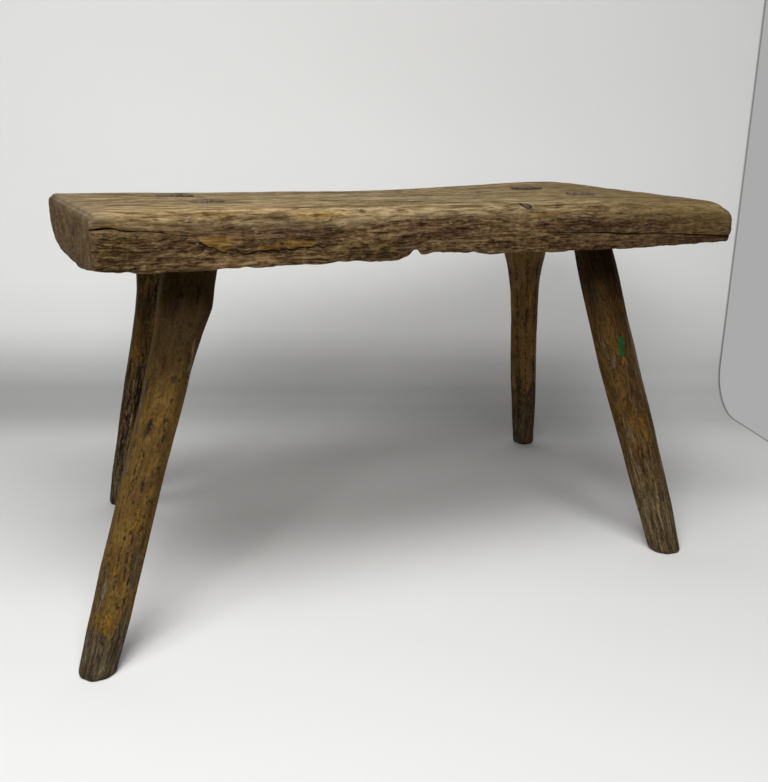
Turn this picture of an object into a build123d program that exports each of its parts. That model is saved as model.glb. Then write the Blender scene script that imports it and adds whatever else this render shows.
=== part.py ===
from build123d import *
import os
from math import cos, radians, sin

os.makedirs("parts", exist_ok=True)

# Seat: one slab hewn from a half log, its edges and ends rounded by wear
seat_length = 624.0
seat_width = 310.0
seat_thickness = 48.0
seat_height = 352.6
seat_rise = 11.8
front_edge_width = 24.0
front_edge_drop = 13.0
back_edge_radius = 11.0
underside_edge_width = 34.0
underside_edge_rise = 6.5
wane_width = 105.0
left_end_radius = 2.5
right_end_radius = 8.0
left_end_skew = 6.0
underside_wear_share = 0.4

# How far the worn top stands above its plane at the back and the front edge.
# A row holds a place in shares of the length, and a rise in shares of the thickness.
back_rise_shares = (
    (-0.5, -0.05),
    (-0.4, -0.05),
    (-0.3, -0.07),
    (-0.13, -0.1),
    (0.03, -0.13),
    (0.15, -0.085),
    (0.25, -0.01),
    (0.36, 0.06),
    (0.43, 0.08),
    (0.5, 0.1),
)
front_rise_shares = (
    (-0.5, -0.03),
    (-0.3, -0.02),
    (0.03, -0.05),
    (0.25, -0.05),
    (0.36, -0.07),
    (0.5, -0.1),
)
# Size of the rounded top front edge along the seat, in shares of its width and drop
front_edge_shares = (
    (-0.5, 0.35),
    (-0.4, 0.9),
    (0.3, 1.0),
    (0.43, 1.3),
    (0.5, 1.6),
)
# Size of the rounded underside's front edge along the seat, in shares of its width and rise
underside_edge_shares = (
    (-0.5, 1.8),
    (-0.4, 1.3),
    (-0.3, 1.0),
    (0.5, 1.0),
)

# Chip broken out of the underside's front edge
chip_width = 14.0
chip_height = 10.0
chip_depth = 11.0
chip_place_share = -0.075

# Legs: hewn sticks with a thick head, cut flat at the floor
leg_radius = 18.0
head_overrun = 30.0
end_overhang = 110.5
edge_overhang = 103.0
lengthways_splay = 83.5
crossways_splay = 128.0
mortise_spread_length = seat_length - 2 * end_overhang
mortise_spread_width = seat_width - 2 * edge_overhang
stance_length = mortise_spread_length + 2 * lengthways_splay
stance_width = mortise_spread_width + 2 * crossways_splay
facet_count = 8
facet_turn_angle = -26.0

# Through tenons and their wedges
tenon_diameter = 32.0
tenon_proud = 2.0
tenon_root = 26.0
mortise_clearance = 0.15
mortise_overrun = 30.0
wedge_thickness = 4.0
wedge_depth = 30.0
wedge_overrun = 12.0

# Green tag stuck on the front right leg
tag_width = 6.3
tag_height = 20.5
tag_thickness = 0.4
tag_clearance = 0.2
tag_height_share = 0.585
tag_across_share = 0.3
tag_facet_index = 6

# Middles of the mortises, in shares of the mortise spread along and across the seat
mortise_place_shares = {
    "front_left": (-0.489, -0.44),
    "front_right": (0.499, -0.46),
    "back_left": (-0.501, 0.54),
    "back_right": (0.511, 0.55),
}
# Middles of the feet, in shares of the stance along and across the seat
foot_place_shares = {
    "front_left": (-0.5756, -0.503),
    "front_right": (0.4223, -0.5067),
    "back_left": (-0.438, 0.4519),
    "back_right": (0.5439, 0.4828),
}
tenon_diameter_shares = {
    "front_left": 0.88,
    "front_right": 0.88,
    "back_left": 1.09,
    "back_right": 1.12,
}
leg_depth_shares = {
    "front_left": 0.94,
    "front_right": 0.9,
    "back_left": 0.96,
    "back_right": 1.0,
}
# Level sections of each leg, from the floor up. A row holds a height in shares of the
# seat's, then the half widths to the left and to the right in shares of the leg's radius.
leg_section_shares = {
    "front_left": (
        (0.0, 0.84, 0.79),
        (0.08, 0.89, 0.83),
        (0.2, 0.95, 0.86),
        (0.36, 0.93, 0.91),
        (0.6, 1.02, 1.04),
        (0.69, 1.08, 1.2),
        (0.745, 1.22, 1.4),
        (0.8, 1.36, 1.24),
        (0.87, 1.44, 1.14),
    ),
    "front_right": (
        (0.0, 0.89, 0.92),
        (0.13, 1.0, 1.03),
        (0.35, 1.17, 1.11),
        (0.52, 1.27, 1.07),
        (0.66, 1.27, 1.11),
        (0.75, 1.21, 1.14),
        (0.82, 1.15, 1.17),
        (0.87, 1.09, 1.14),
    ),
    "back_left": (
        (0.0, 0.83, 0.8),
        (0.1, 0.94, 0.86),
        (0.35, 1.03, 0.92),
        (0.53, 1.08, 0.96),
        (0.65, 1.11, 1.0),
        (0.72, 1.22, 1.1),
        (0.77, 1.42, 1.22),
        (0.87, 1.6, 1.34),
    ),
    "back_right": (
        (0.0, 0.8, 0.71),
        (0.12, 0.9, 0.83),
        (0.3, 1.0, 0.88),
        (0.55, 0.98, 0.87),
        (0.65, 1.02, 0.93),
        (0.7, 1.12, 0.99),
        (0.75, 1.27, 1.15),
        (0.79, 1.46, 1.34),
        (0.87, 1.72, 1.6),
    ),
}
# How far each edge between two facets stands out
facet_edge_shares = (1.0, 0.96, 1.02, 0.97, 1.0, 0.98, 1.03, 0.97)


def share_at(table, place, column=1):
    """A column's value at a place, on a straight line between the rows of a table of shares"""
    for low, high in zip(table, table[1:]):
        if place <= high[0]:
            break
    step = (place - low[0]) / (high[0] - low[0])
    return low[column] + (high[column] - low[column]) * step


def leg_corners(name, height_share, middle):
    """Corners of a leg's level section, around the point where its axis crosses the level"""
    left = leg_radius * share_at(leg_section_shares[name], height_share, 1)
    right = leg_radius * share_at(leg_section_shares[name], height_share, 2)
    turn = radians(facet_turn_angle)
    corners = []
    for index, edge_share in enumerate(facet_edge_shares):
        angle = radians(360 * index / facet_count)
        across = (left + right) / 2 * cos(angle) * edge_share + (right - left) / 2
        deep = (left + right) / 2 * leg_depth_shares[name] * sin(angle) * edge_share
        x = middle.X + across * cos(turn) - deep * sin(turn)
        y = middle.Y + across * sin(turn) + deep * cos(turn)
        corners.append(Vector(x, y))
    return corners


def foot_middle(name):
    """Middle of a foot on the floor, before the stool is centred on its feet"""
    along_share, across_share = foot_place_shares[name]
    return Vector(stance_length * along_share, stance_width * across_share, 0)


# The origin lies on the floor, in the middle of the feet's outer box
foot_xs = []
foot_ys = []
for name in foot_place_shares:
    for corner in leg_corners(name, 0, foot_middle(name)):
        foot_xs.append(corner.X)
        foot_ys.append(corner.Y)
feet_centre = Vector((min(foot_xs) + max(foot_xs)) / 2, (min(foot_ys) + max(foot_ys)) / 2, 0)

# The seat's own plane: local X runs along the slab, and its top is about level with it
seat_plane = Plane(
    origin=Vector(0, 0, seat_height) - feet_centre,
    x_dir=(seat_length, 0, seat_rise),
    z_dir=(-seat_rise, 0, seat_length),
)
underside_plane = seat_plane.offset(-seat_thickness)


def seat_point(along, across, height=0):
    """A point given in the seat's own plane"""
    return seat_plane.from_local_coords(Vector(along, across, height))


def seat_top_height(along, across):
    """Height of the worn top over the seat's plane"""
    back_rise = share_at(back_rise_shares, along / seat_length) * seat_thickness
    front_rise = share_at(front_rise_shares, along / seat_length) * seat_thickness
    return front_rise + (back_rise - front_rise) * (across / seat_width + 1 / 2)


def seat_section_plane(along, skew):
    """Plane of a section, turned so that the back lies further right than the front by the skew"""
    return Plane(
        origin=seat_point(along + skew / 2, 0),
        x_dir=seat_plane.y_dir * seat_width + seat_plane.x_dir * skew,
        z_dir=seat_plane.x_dir * seat_width - seat_plane.y_dir * skew,
    )


def seat_section(along, inset):
    """Outline across the slab: rounded top edges, and a wane from the back edge downwards"""
    front = -seat_width / 2 + inset
    back = seat_width / 2 - inset
    front_top = seat_top_height(along, -seat_width / 2) - inset
    back_top = seat_top_height(along, seat_width / 2) - inset
    base = -seat_thickness + inset * underside_wear_share
    edge_share = share_at(front_edge_shares, along / seat_length)
    edge_back = front + front_edge_width * edge_share
    edge_foot = front_top - front_edge_drop * edge_share
    underside_share = share_at(underside_edge_shares, along / seat_length)
    under_back = front + underside_edge_width * underside_share
    under_top = base + underside_edge_rise * underside_share
    with BuildLine() as outline:
        Line((front, under_top), (front, edge_foot))
        Bezier((front, edge_foot), (front, front_top), (edge_back, front_top))
        Line((edge_back, front_top), (back - back_edge_radius, back_top))
        Bezier(
            (back - back_edge_radius, back_top),
            (back, back_top),
            (back, back_top - back_edge_radius),
        )
        Bezier(
            (back, back_top - back_edge_radius),
            (back, base + back_edge_radius),
            (back - wane_width / 2, base),
            (back - wane_width, base),
        )
        Line((back - wane_width, base), (under_back, base))
        Bezier((under_back, base), (front, base), (front, under_top))
    return outline.line


class Leg:
    """Places of one leg: its axis from the foot to the tenon's end, and the planes on it"""

    def __init__(self, name):
        self.name = name
        self.foot = foot_middle(name) - feet_centre
        along_share, across_share = mortise_place_shares[name]
        along = mortise_spread_length * along_share
        across = mortise_spread_width * across_share
        top_height = seat_top_height(along, across)
        self.top = seat_point(along, across, top_height)
        self.axis = (self.top - self.foot).normalized()
        self.end_plane = seat_plane.offset(top_height + tenon_proud)
        self.tenon_radius = tenon_diameter * tenon_diameter_shares[name] / 2
        # Local X of the tenon's plane lies along the seat's grain
        across_grain = self.axis.cross(seat_plane.x_dir)
        with_grain = across_grain.cross(self.axis)
        self.tenon_plane = Plane(origin=self.top, x_dir=with_grain, z_dir=self.axis)
        # Local Y of the kerf's plane points down the tenon
        self.kerf_plane = Plane(origin=self.top, x_dir=with_grain, z_dir=across_grain)

    def corners(self, height):
        """Corners of the leg's section at a height over the floor"""
        middle = self.foot + self.axis * (height / self.axis.Z)
        return leg_corners(self.name, height / seat_height, middle)

    def kerf_corners(self):
        """Corners of the kerf and of its wedge, seen across the grain, with the point down"""
        mouth = wedge_thickness / 2 * (1 + wedge_overrun / wedge_depth)
        return [(0, wedge_depth), (mouth, -wedge_overrun), (-mouth, -wedge_overrun)]


legs = [Leg(name) for name in mortise_place_shares]

# Seat
left_end = -seat_length / 2
right_end = seat_length / 2
round_end_turns = (90, 60, 30, 0)
with BuildPart() as seat:
    for turn in round_end_turns:
        along = left_end + left_end_radius * (1 - sin(radians(turn)))
        inset = left_end_radius * (1 - cos(radians(turn)))
        with BuildSketch(seat_section_plane(along, left_end_skew)):
            add(seat_section(along, inset))
            make_face()
    for row in back_rise_shares[1:-1]:
        along = seat_length * row[0]
        with BuildSketch(seat_section_plane(along, 0)):
            add(seat_section(along, 0))
            make_face()
    for turn in reversed(round_end_turns):
        along = right_end - right_end_radius * (1 - sin(radians(turn)))
        inset = right_end_radius * (1 - cos(radians(turn)))
        with BuildSketch(seat_section_plane(along, 0)):
            add(seat_section(along, inset))
            make_face()
    loft(ruled=True)
    chip_middle = seat_length * chip_place_share
    chip_left = chip_middle - chip_width / 2
    chip_right = chip_middle + chip_width / 2
    front_face = -seat_width / 2
    with BuildSketch(underside_plane):
        with BuildLine():
            Polyline(
                (chip_left, front_face - chip_depth),
                (chip_left, front_face + chip_depth / 2),
                (chip_middle, front_face + chip_depth),
                (chip_right, front_face + chip_depth / 2),
                (chip_right, front_face - chip_depth),
                close=True,
            )
        make_face()
    extrude(amount=chip_height, both=True, mode=Mode.SUBTRACT)
    for leg in legs:
        with Locations(leg.tenon_plane):
            Cylinder(
                radius=leg.tenon_radius + mortise_clearance,
                height=2 * (seat_thickness + mortise_overrun),
                mode=Mode.SUBTRACT,
            )
seat.part.label = "seat"
export_step(seat.part, "parts/seat.step")

# Legs, each with its tenon and the kerf for its wedge
for leg in legs:
    row_heights = [seat_height * row[0] for row in leg_section_shares[leg.name]]
    with BuildPart() as stick:
        for height in (*row_heights, row_heights[-1] + head_overrun):
            with BuildSketch(Plane.XY.offset(height)):
                with BuildLine():
                    Polyline(*leg.corners(height), close=True)
                make_face()
        loft(ruled=True)
        split(bisect_by=underside_plane, keep=Keep.BOTTOM)
        with Locations(leg.tenon_plane):
            Cylinder(
                radius=leg.tenon_radius,
                height=2 * (seat_thickness + tenon_root),
            )
        split(bisect_by=leg.end_plane, keep=Keep.BOTTOM)
        with BuildSketch(leg.kerf_plane):
            with BuildLine():
                Polyline(*leg.kerf_corners(), close=True)
            make_face()
        extrude(amount=tenon_diameter, both=True, mode=Mode.SUBTRACT)
    stick.part.label = f"leg_{leg.name}"
    export_step(stick.part, f"parts/leg_{leg.name}.step")

# Wedges, one in each tenon's kerf
for leg in legs:
    with BuildPart() as wedge:
        with BuildSketch(leg.kerf_plane):
            with BuildLine():
                Polyline(*leg.kerf_corners(), close=True)
            make_face()
        extrude(amount=tenon_diameter, both=True)
        with Locations(leg.tenon_plane):
            Cylinder(
                radius=leg.tenon_radius,
                height=2 * (seat_thickness + tenon_root),
                mode=Mode.INTERSECT,
            )
        split(bisect_by=leg.end_plane, keep=Keep.BOTTOM)
    wedge.part.label = f"wedge_{leg.name}"
    export_step(wedge.part, f"parts/wedge_{leg.name}.step")

# Green tag, lying along one facet of the front right leg
tagged_leg = legs[1]
tag_middle = seat_height * tag_height_share
with BuildPart() as tag:
    for height in (tag_middle - tag_height / 2, tag_middle + tag_height / 2):
        corners = tagged_leg.corners(height)
        near = corners[tag_facet_index]
        far = corners[tag_facet_index + 1]
        along_facet = (far - near).normalized()
        outwards = along_facet.cross(Vector(0, 0, 1))
        inner = near + (far - near) * tag_across_share + outwards * tag_clearance
        outer = inner + outwards * tag_thickness
        half_width = along_facet * (tag_width / 2)
        outline = [inner - half_width, inner + half_width, outer + half_width, outer - half_width]
        with BuildSketch(Plane.XY.offset(height)):
            with BuildLine():
                Polyline(*outline, close=True)
            make_face()
    loft(ruled=True)
tag.part.label = "green_tag"
export_step(tag.part, "parts/green_tag.step")
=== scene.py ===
import math

import bmesh
import bpy
import numpy as np
from mathutils import Matrix, Vector
from mathutils.bvhtree import BVHTree


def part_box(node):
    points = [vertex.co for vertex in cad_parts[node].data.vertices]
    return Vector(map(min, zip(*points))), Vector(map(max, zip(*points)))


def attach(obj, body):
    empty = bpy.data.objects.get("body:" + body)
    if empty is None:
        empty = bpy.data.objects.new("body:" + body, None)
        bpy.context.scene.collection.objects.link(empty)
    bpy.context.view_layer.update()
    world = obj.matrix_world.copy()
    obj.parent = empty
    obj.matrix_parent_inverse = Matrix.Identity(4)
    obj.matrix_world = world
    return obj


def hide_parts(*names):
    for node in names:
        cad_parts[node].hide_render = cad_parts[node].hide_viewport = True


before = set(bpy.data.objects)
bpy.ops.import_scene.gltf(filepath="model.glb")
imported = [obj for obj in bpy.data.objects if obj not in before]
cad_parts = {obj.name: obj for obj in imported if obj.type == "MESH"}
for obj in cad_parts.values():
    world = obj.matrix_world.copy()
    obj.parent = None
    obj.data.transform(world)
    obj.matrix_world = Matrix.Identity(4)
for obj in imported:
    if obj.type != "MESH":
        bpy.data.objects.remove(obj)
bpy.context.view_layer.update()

# Seat, in metres
seat_length = 0.624
seat_width = 0.31
seat_thickness = 0.048
seat_height = 0.3526
seat_rise = 0.0118
front_edge_width = 0.024
front_edge_drop = 0.013
back_edge_radius = 0.011
wane_width = 0.105
underside_edge_width = 0.034
underside_corner_radius = 0.0025
# Length of the underside's front rise for each unit of its height
torn_edge_slope = 10.5
left_end_radius = 0.003
right_end_radius = 0.008
left_end_skew = 0.0043
left_end_sag = 0.0018
left_rim_radius = 0.0075
right_rim_radius = 0.0125
# The right end: how far its middle and its back part stand out, and its corners are drawn in
right_nose = 0.0072
right_nose_level = 0.026
right_back_swell = 0.009
right_front_corner_loss = 0.006
right_back_corner_loss = 0.024
# The broken stretch of the front: how far it stands back, and the slant of its splinter
broken_recess = 0.0011
splinter_slope = 0.54
splinter_reach = 0.105
# Saw marks on the left end, and the year rings that its finish shows
saw_mark_depth = 0.0006
saw_mark_spacing = 0.0075
ring_spacing = 0.0055
mortise_gap = 0.0002

# Legs
facet_count = 8
facet_angle = 2 * math.pi / facet_count
facet_turn = math.radians(-26)
# Level directions of the facets: to the right and away, as the photograph sees them
facet_right = np.array([math.cos(facet_turn), math.sin(facet_turn), 0])
facet_away = np.array([-math.sin(facet_turn), math.cos(facet_turn), 0])
leg_radius = 0.018
points_per_facet = 15
# What the rounding of the arrises takes off, given back all round
arris_loss = 0.0007
foot_radius = 0.0035
head_overlap = 0.0015
tenon_bevel = 0.0011
kerf_gap = 0.0003
# Spacing and depth of the hewn hollows, and the share of the foot's rounding that is kept
hewn_spacing = 0.038
hewn_depth = 0.00055
foot_roundness = 0.8

# How lines wander: the spacing of their turns, how far they go, and a seed
front_wander = (0.045, 0.0009, 3)
back_wander = (0.06, 0.0012, 4)
base_wander = (0.05, 0.0006, 5)
top_wander = (0.08, 0.0006, 6)
crack_wander = (0.007, 0.0003, 7)
jagged_wander = (0.0041, 0.0007, 8)
lower_edge_wander = (0.009, 0.0005, 11)
lower_edge_ripple = (0.004, 0.0003, 12)

# Tables of shares, as in the part: a place along the seat in shares of its length, then a value
back_rise_shares = (
    (-0.5, -0.03), (-0.4, -0.03), (-0.3, -0.05), (-0.13, -0.07), (-0.06, -0.068), (0.03, -0.085),
    (0.13, -0.065), (0.25, -0.002), (0.36, 0.06), (0.43, 0.09), (0.5, 0.1),
)
front_rise_shares = (
    (-0.5, -0.03), (-0.3, -0.02), (0.03, -0.05), (0.25, -0.05), (0.36, -0.07), (0.5, -0.11),
)
front_edge_shares = (
    (-0.5, 0.35), (-0.45, 0.7), (-0.4, 0.9), (0.3, 1.0), (0.43, 1.3), (0.5, 1.65),
)
# Depth of the front face's lower edge below the seat's plane, in shares of the thickness
lower_edge_shares = (
    (-0.5, 0.875), (-0.45, 0.94), (-0.36, 0.965), (-0.345, 0.93), (-0.318, 0.93), (-0.3, 0.96),
    (-0.255, 0.945), (-0.212, 0.96), (-0.195, 0.93), (-0.16, 0.935), (-0.145, 0.965),
    (-0.12, 0.965), (-0.108, 0.95), (-0.0935, 0.888), (-0.0885, 0.84), (-0.0865, 0.795),
    (-0.078, 0.79), (-0.0755, 0.86), (-0.067, 0.872), (-0.045, 0.86), (-0.015, 0.865),
    (-0.006, 0.885), (0.01, 0.865), (0.038, 0.94), (0.065, 0.915), (0.14, 0.95), (0.33, 0.955),
    (0.4, 0.94), (0.5, 0.92),
)

# Cracks along the front face: places along the seat, heights under its plane, half widths, depths
left_crack = (
    (-0.3125, -0.0138, 0.0003, 0.0014), (-0.308, -0.0129, 0.0003, 0.0018),
    (-0.3034, -0.0125, 0.0005, 0.0022), (-0.299, -0.0124, 0.0004, 0.002),
    (-0.2943, -0.013, 0.0003, 0.0016), (-0.291, -0.0145, 0.0002, 0.0012),
    (-0.277, -0.0151, 0.0002, 0.001), (-0.2628, -0.0165, 0.0001, 0.0009),
    (-0.2496, -0.0186, 0.0001, 0.0006), (-0.236, -0.0206, 0.0001, 0.0),
)
ragged_crack = (
    (-0.2355, -0.025, 0.0003, 0.0006), (-0.232, -0.0251, 0.0005, 0.002),
    (-0.2289, -0.0271, 0.0004, 0.002), (-0.2252, -0.0285, 0.0004, 0.0018),
    (-0.2233, -0.0279, 0.0003, 0.0016), (-0.2202, -0.0305, 0.0004, 0.002),
    (-0.2165, -0.0329, 0.0005, 0.002), (-0.2133, -0.0327, 0.0003, 0.0014),
    (-0.2112, -0.0309, 0.0001, 0.0008), (-0.2094, -0.032, 0.0003, 0.0012),
    (-0.2074, -0.0308, 0.0002, 0.0012), (-0.2054, -0.0311, 0.0004, 0.0018),
    (-0.2029, -0.0338, 0.0005, 0.002), (-0.1984, -0.0352, 0.0005, 0.0022),
    (-0.1924, -0.0346, 0.0005, 0.0022), (-0.189, -0.0327, 0.0004, 0.0016),
    (-0.185, -0.0324, 0.0003, 0.0014), (-0.1837, -0.0333, 0.0003, 0.0014),
    (-0.1803, -0.0322, 0.0002, 0.0012), (-0.1763, -0.033, 0.0004, 0.0018),
    (-0.1709, -0.034, 0.0004, 0.002), (-0.1675, -0.033, 0.0003, 0.0014),
    (-0.1587, -0.0327, 0.0003, 0.0012), (-0.1456, -0.0321, 0.0004, 0.0018),
    (-0.1435, -0.0311, 0.0003, 0.0014), (-0.14, -0.0302, 0.0004, 0.0018),
    (-0.1365, -0.0317, 0.0004, 0.0018), (-0.1344, -0.0335, 0.0004, 0.0018),
    (-0.1322, -0.0322, 0.0003, 0.0012), (-0.1275, -0.0312, 0.0003, 0.0008),
    (-0.12, -0.031, 0.0001, 0.0),
)
right_crack = (
    (0.062, -0.0285, 0.0001, 0.0), (0.084, -0.0285, 0.0002, 0.0006), (0.11, -0.0287, 0.0002, 0.001),
    (0.146, -0.0302, 0.0003, 0.0014), (0.178, -0.0326, 0.0003, 0.0016),
    (0.2056, -0.033, 0.0003, 0.0018), (0.2414, -0.0347, 0.0003, 0.0018),
    (0.2748, -0.037, 0.0003, 0.002), (0.29, -0.0381, 0.0004, 0.0022),
    (0.3054, -0.0387, 0.0005, 0.0022), (0.32, -0.039, 0.0005, 0.002),
)
cracks = (left_crack, ragged_crack, right_crack)
# Offsets of the rows of points that follow a crack
crack_row_offsets = (-0.0024, -0.0014, -0.0008, -0.0004, 0.0, 0.0004, 0.0008, 0.0014, 0.0024)

# Ochre left on the seat's front: places along, and each one's lower and upper height
ochre_patches = (
    (
        (-0.2345, -0.0212, -0.0205), (-0.2332, -0.0245, -0.0207), (-0.2252, -0.0282, -0.0211),
        (-0.2152, -0.0325, -0.0213), (-0.2112, -0.0295, -0.0216), (-0.2098, -0.026, -0.0216),
        (-0.206, -0.0225, -0.0218),
    ),
    (
        (-0.192, -0.0308, -0.0302), (-0.185, -0.0322, -0.0292), (-0.1765, -0.0322, -0.028),
        (-0.17, -0.0318, -0.0272),
    ),
    (
        (-0.169, -0.0275, -0.0266), (-0.1633, -0.0318, -0.0264), (-0.154, -0.0322, -0.026),
        (-0.1456, -0.0318, -0.0268), (-0.1385, -0.03, -0.0292),
    ),
    (
        (-0.156, -0.009, -0.0066), (-0.137, -0.0095, -0.006), (-0.126, -0.0085, -0.0062),
        (-0.112, -0.0078, -0.007),
    ),
    ((-0.221, -0.0066, -0.0056), (-0.215, -0.0068, -0.005), (-0.2085, -0.006, -0.0052)),
    ((-0.3025, -0.0108, -0.01), (-0.296, -0.0106, -0.0085), (-0.29, -0.0104, -0.0098)),
    (
        (0.061, -0.0144, -0.0134), (0.068, -0.0144, -0.012), (0.078, -0.014, -0.0112),
        (0.097, -0.012, -0.0108),
    ),
)
# Stained patches: place along and height, half length and half height
plum_patches = (
    (-0.217, -0.0165, 0.024, 0.0055), (-0.16, -0.0195, 0.03, 0.0085),
    (0.15, -0.0225, 0.075, 0.0065), (0.2, -0.04, 0.1, 0.005), (-0.058, -0.0215, 0.022, 0.006),
    (-0.074, -0.036, 0.026, 0.007), (-0.012, -0.024, 0.016, 0.005),
)
olive_patches = ((-0.298, -0.026, 0.018, 0.012), (0.27, -0.018, 0.045, 0.014), (-0.1, -0.034, 0.03, 0.005))

leg_names = ("front_left", "front_right", "back_left", "back_right")
# The seat's own plane in the frame: where its middle is, and the ways along and up
seat_low, seat_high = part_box("seat")
seat_middle = (seat_low + seat_high) / 2
seat_slope = math.atan2(seat_rise, seat_length)
seat_along = np.array([math.cos(seat_slope), 0, math.sin(seat_slope)])
seat_up = np.array([-math.sin(seat_slope), 0, math.cos(seat_slope)])
seat_origin = np.array([seat_middle.x, seat_middle.y, seat_height])


def seat_to_frame(along, across, height):
    """Points of the frame from places in the seat's own plane"""
    flat = seat_origin + np.multiply.outer(along, seat_along) + np.multiply.outer(height, seat_up)
    flat[..., 1] += across
    return flat


def frame_to_seat(points):
    """Places along, across and over the seat's own plane"""
    offset = points - seat_origin
    return offset @ seat_along, offset[..., 1], offset @ seat_up


def by_leg(*values):
    """Values by leg, given in the order of the legs' names"""
    return dict(zip(leg_names, values))


# Shapes of lines
def wander(places, step, size, seed):
    """A smooth random line: its turns lie a step apart, and it keeps within the size"""
    turns = np.arange(places.min() - 2 * step, places.max() + 3 * step, step)
    heights = np.random.default_rng(seed).uniform(-size, size, len(turns))
    at = (places - turns[0]) / step
    low = np.clip(at.astype(int), 0, len(turns) - 2)
    share = at - low
    smooth = share * share * (3 - 2 * share)
    return heights[low] * (1 - smooth) + heights[low + 1] * smooth


def eased(values, low, high):
    """0 under the low value, 1 over the high one, and a smooth step between"""
    share = np.clip((values - low) / (high - low), 0, 1)
    return share * share * (3 - 2 * share)


def softened(values, reach):
    """A line of values with its turns rounded over a number of neighbours, its ends kept"""
    weights = np.hanning(2 * reach + 3)[1:-1]
    before = 2 * values[0] - values[reach:0:-1]
    after = 2 * values[-1] - values[-2 : -reach - 2 : -1]
    return np.convolve(np.concatenate([before, values, after]), weights / weights.sum(), "valid")


def from_table(rows, places, column=1):
    """A column of a table at places, on straight lines between its rows"""
    return np.interp(places, [row[0] for row in rows], [row[column] for row in rows])


def bend(*controls, start=0.0, stop=1.0, steps=9):
    """Points of a Bezier curve through each section's control points"""
    share = np.linspace(start, stop, steps)[:, None]
    layer = [np.stack(np.broadcast_arrays(*control), axis=-1)[:, None, :] for control in controls]
    while len(layer) > 1:
        layer = [near * (1 - share) + far * share for near, far in zip(layer, layer[1:])]
    return layer[0]


def joined(first, *others):
    """One path from several that follow each other, without the points that they share"""
    return np.concatenate([first, *(path[:, 1:] for path in others)], axis=1)


def lengths_along(path):
    """The length of a path up to each of its points"""
    return np.concatenate([[0], np.cumsum(np.linalg.norm(np.diff(path, axis=0), axis=1))])


def spread(path, places):
    """Points along one path at places given as lengths from its start"""
    lengths = lengths_along(path)
    return np.stack([np.interp(places, lengths, path[:, axis]) for axis in (0, 1)], axis=-1)


def path_length(path):
    """The whole length of a path"""
    return np.linalg.norm(np.diff(path, axis=0), axis=1).sum()


def unit(vector):
    """A vector of length 1 that points the same way"""
    return vector / np.linalg.norm(vector)


# Meshes
def add_to_scene(name, data):
    """An object in the scene that shows some data"""
    added = bpy.data.objects.new(name, data)
    bpy.context.scene.collection.objects.link(added)
    return added


def quads(numbers, wrap=False):
    """Faces between neighbouring rows and columns of a grid of point numbers"""
    if wrap:
        numbers = np.column_stack([numbers, numbers[:, :1]])
    corners = (numbers[:-1, :-1], numbers[:-1, 1:], numbers[1:, 1:], numbers[1:, :-1])
    return np.stack(corners, axis=-1).reshape(-1, 4).tolist()


def make_piece(name, points, faces):
    """An object at the origin with its faces turned outwards"""
    mesh = bpy.data.meshes.new(name)
    mesh.from_pydata(points.tolist(), [], faces)
    work = bmesh.new()
    work.from_mesh(mesh)
    bmesh.ops.recalc_face_normals(work, faces=work.faces)
    work.to_mesh(mesh)
    work.free()
    return add_to_scene(name, mesh)


def fix_mesh(piece):
    """Turns what the modifiers show into the piece's own mesh"""
    bpy.context.view_layer.update()
    shown = piece.evaluated_get(bpy.context.evaluated_depsgraph_get())
    mesh = bpy.data.meshes.new_from_object(shown)
    piece.modifiers.clear()
    piece.data = mesh


def cut_away(piece, cutters):
    """Cuts other shapes out of a piece, and removes them"""
    for cutter in cutters:
        cut = piece.modifiers.new("Cut", "BOOLEAN")
        cut.operation = "DIFFERENCE"
        cut.solver = "EXACT"
        cut.object = cutter
    fix_mesh(piece)
    for cutter in cutters:
        bpy.data.objects.remove(cutter)


def shade_softly(piece, sharpest):
    """Smooth shading, but for edges sharper than an angle"""
    piece.data.shade_smooth()
    piece.data.set_sharp_from_angle(angle=math.radians(sharpest))


def points_of(mesh, kind="co"):
    """The mesh's points, or another vector that each of them has"""
    values = np.empty(len(mesh.vertices) * 3)
    mesh.vertices.foreach_get(kind, values)
    return values.reshape(-1, 3)


def mark(piece, name, values):
    """Keeps a number on each point of a piece for its finish to read"""
    layer = piece.data.attributes.new(name, "FLOAT", "POINT")
    layer.data.foreach_set("value", np.ascontiguousarray(values, dtype=np.float32))


# Node trees
class Wire:
    """A socket of a node tree that takes part in Python sums"""

    def __init__(self, tree, socket):
        self.tree = tree
        self.socket = socket

    def sum(self, operation, *values):
        return add_node(self.tree, "ShaderNodeMath", {"operation": operation}, dict(enumerate(values)))

    def __add__(self, other):
        return self.sum("ADD", self, other)

    def __radd__(self, other):
        return self.sum("ADD", other, self)

    def __sub__(self, other):
        return self.sum("SUBTRACT", self, other)

    def __rsub__(self, other):
        return self.sum("SUBTRACT", other, self)

    def __mul__(self, other):
        return self.sum("MULTIPLY", self, other)

    def __rmul__(self, other):
        return self.sum("MULTIPLY", other, self)

    def __truediv__(self, other):
        return self.sum("DIVIDE", self, other)

    def __rtruediv__(self, other):
        return self.sum("DIVIDE", other, self)

    def __pow__(self, other):
        return self.sum("POWER", self, other)

    def most(self, other):
        return self.sum("MAXIMUM", self, other)

    def step(self, low, high):
        """0 under the low value, 1 over the high one, and a smooth step between"""
        settings = {"interpolation_type": "SMOOTHSTEP"}
        inputs = {"Value": self, "From Min": low, "From Max": high}
        return add_node(self.tree, "ShaderNodeMapRange", settings, inputs)


def find_socket(sockets, key):
    """A socket by its number, or by its identifier or name if it is in use"""
    if isinstance(key, int):
        return sockets[key]
    for socket in sockets:
        if key in (socket.identifier, socket.name) and socket.enabled:
            return socket
    raise KeyError(key)


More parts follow.
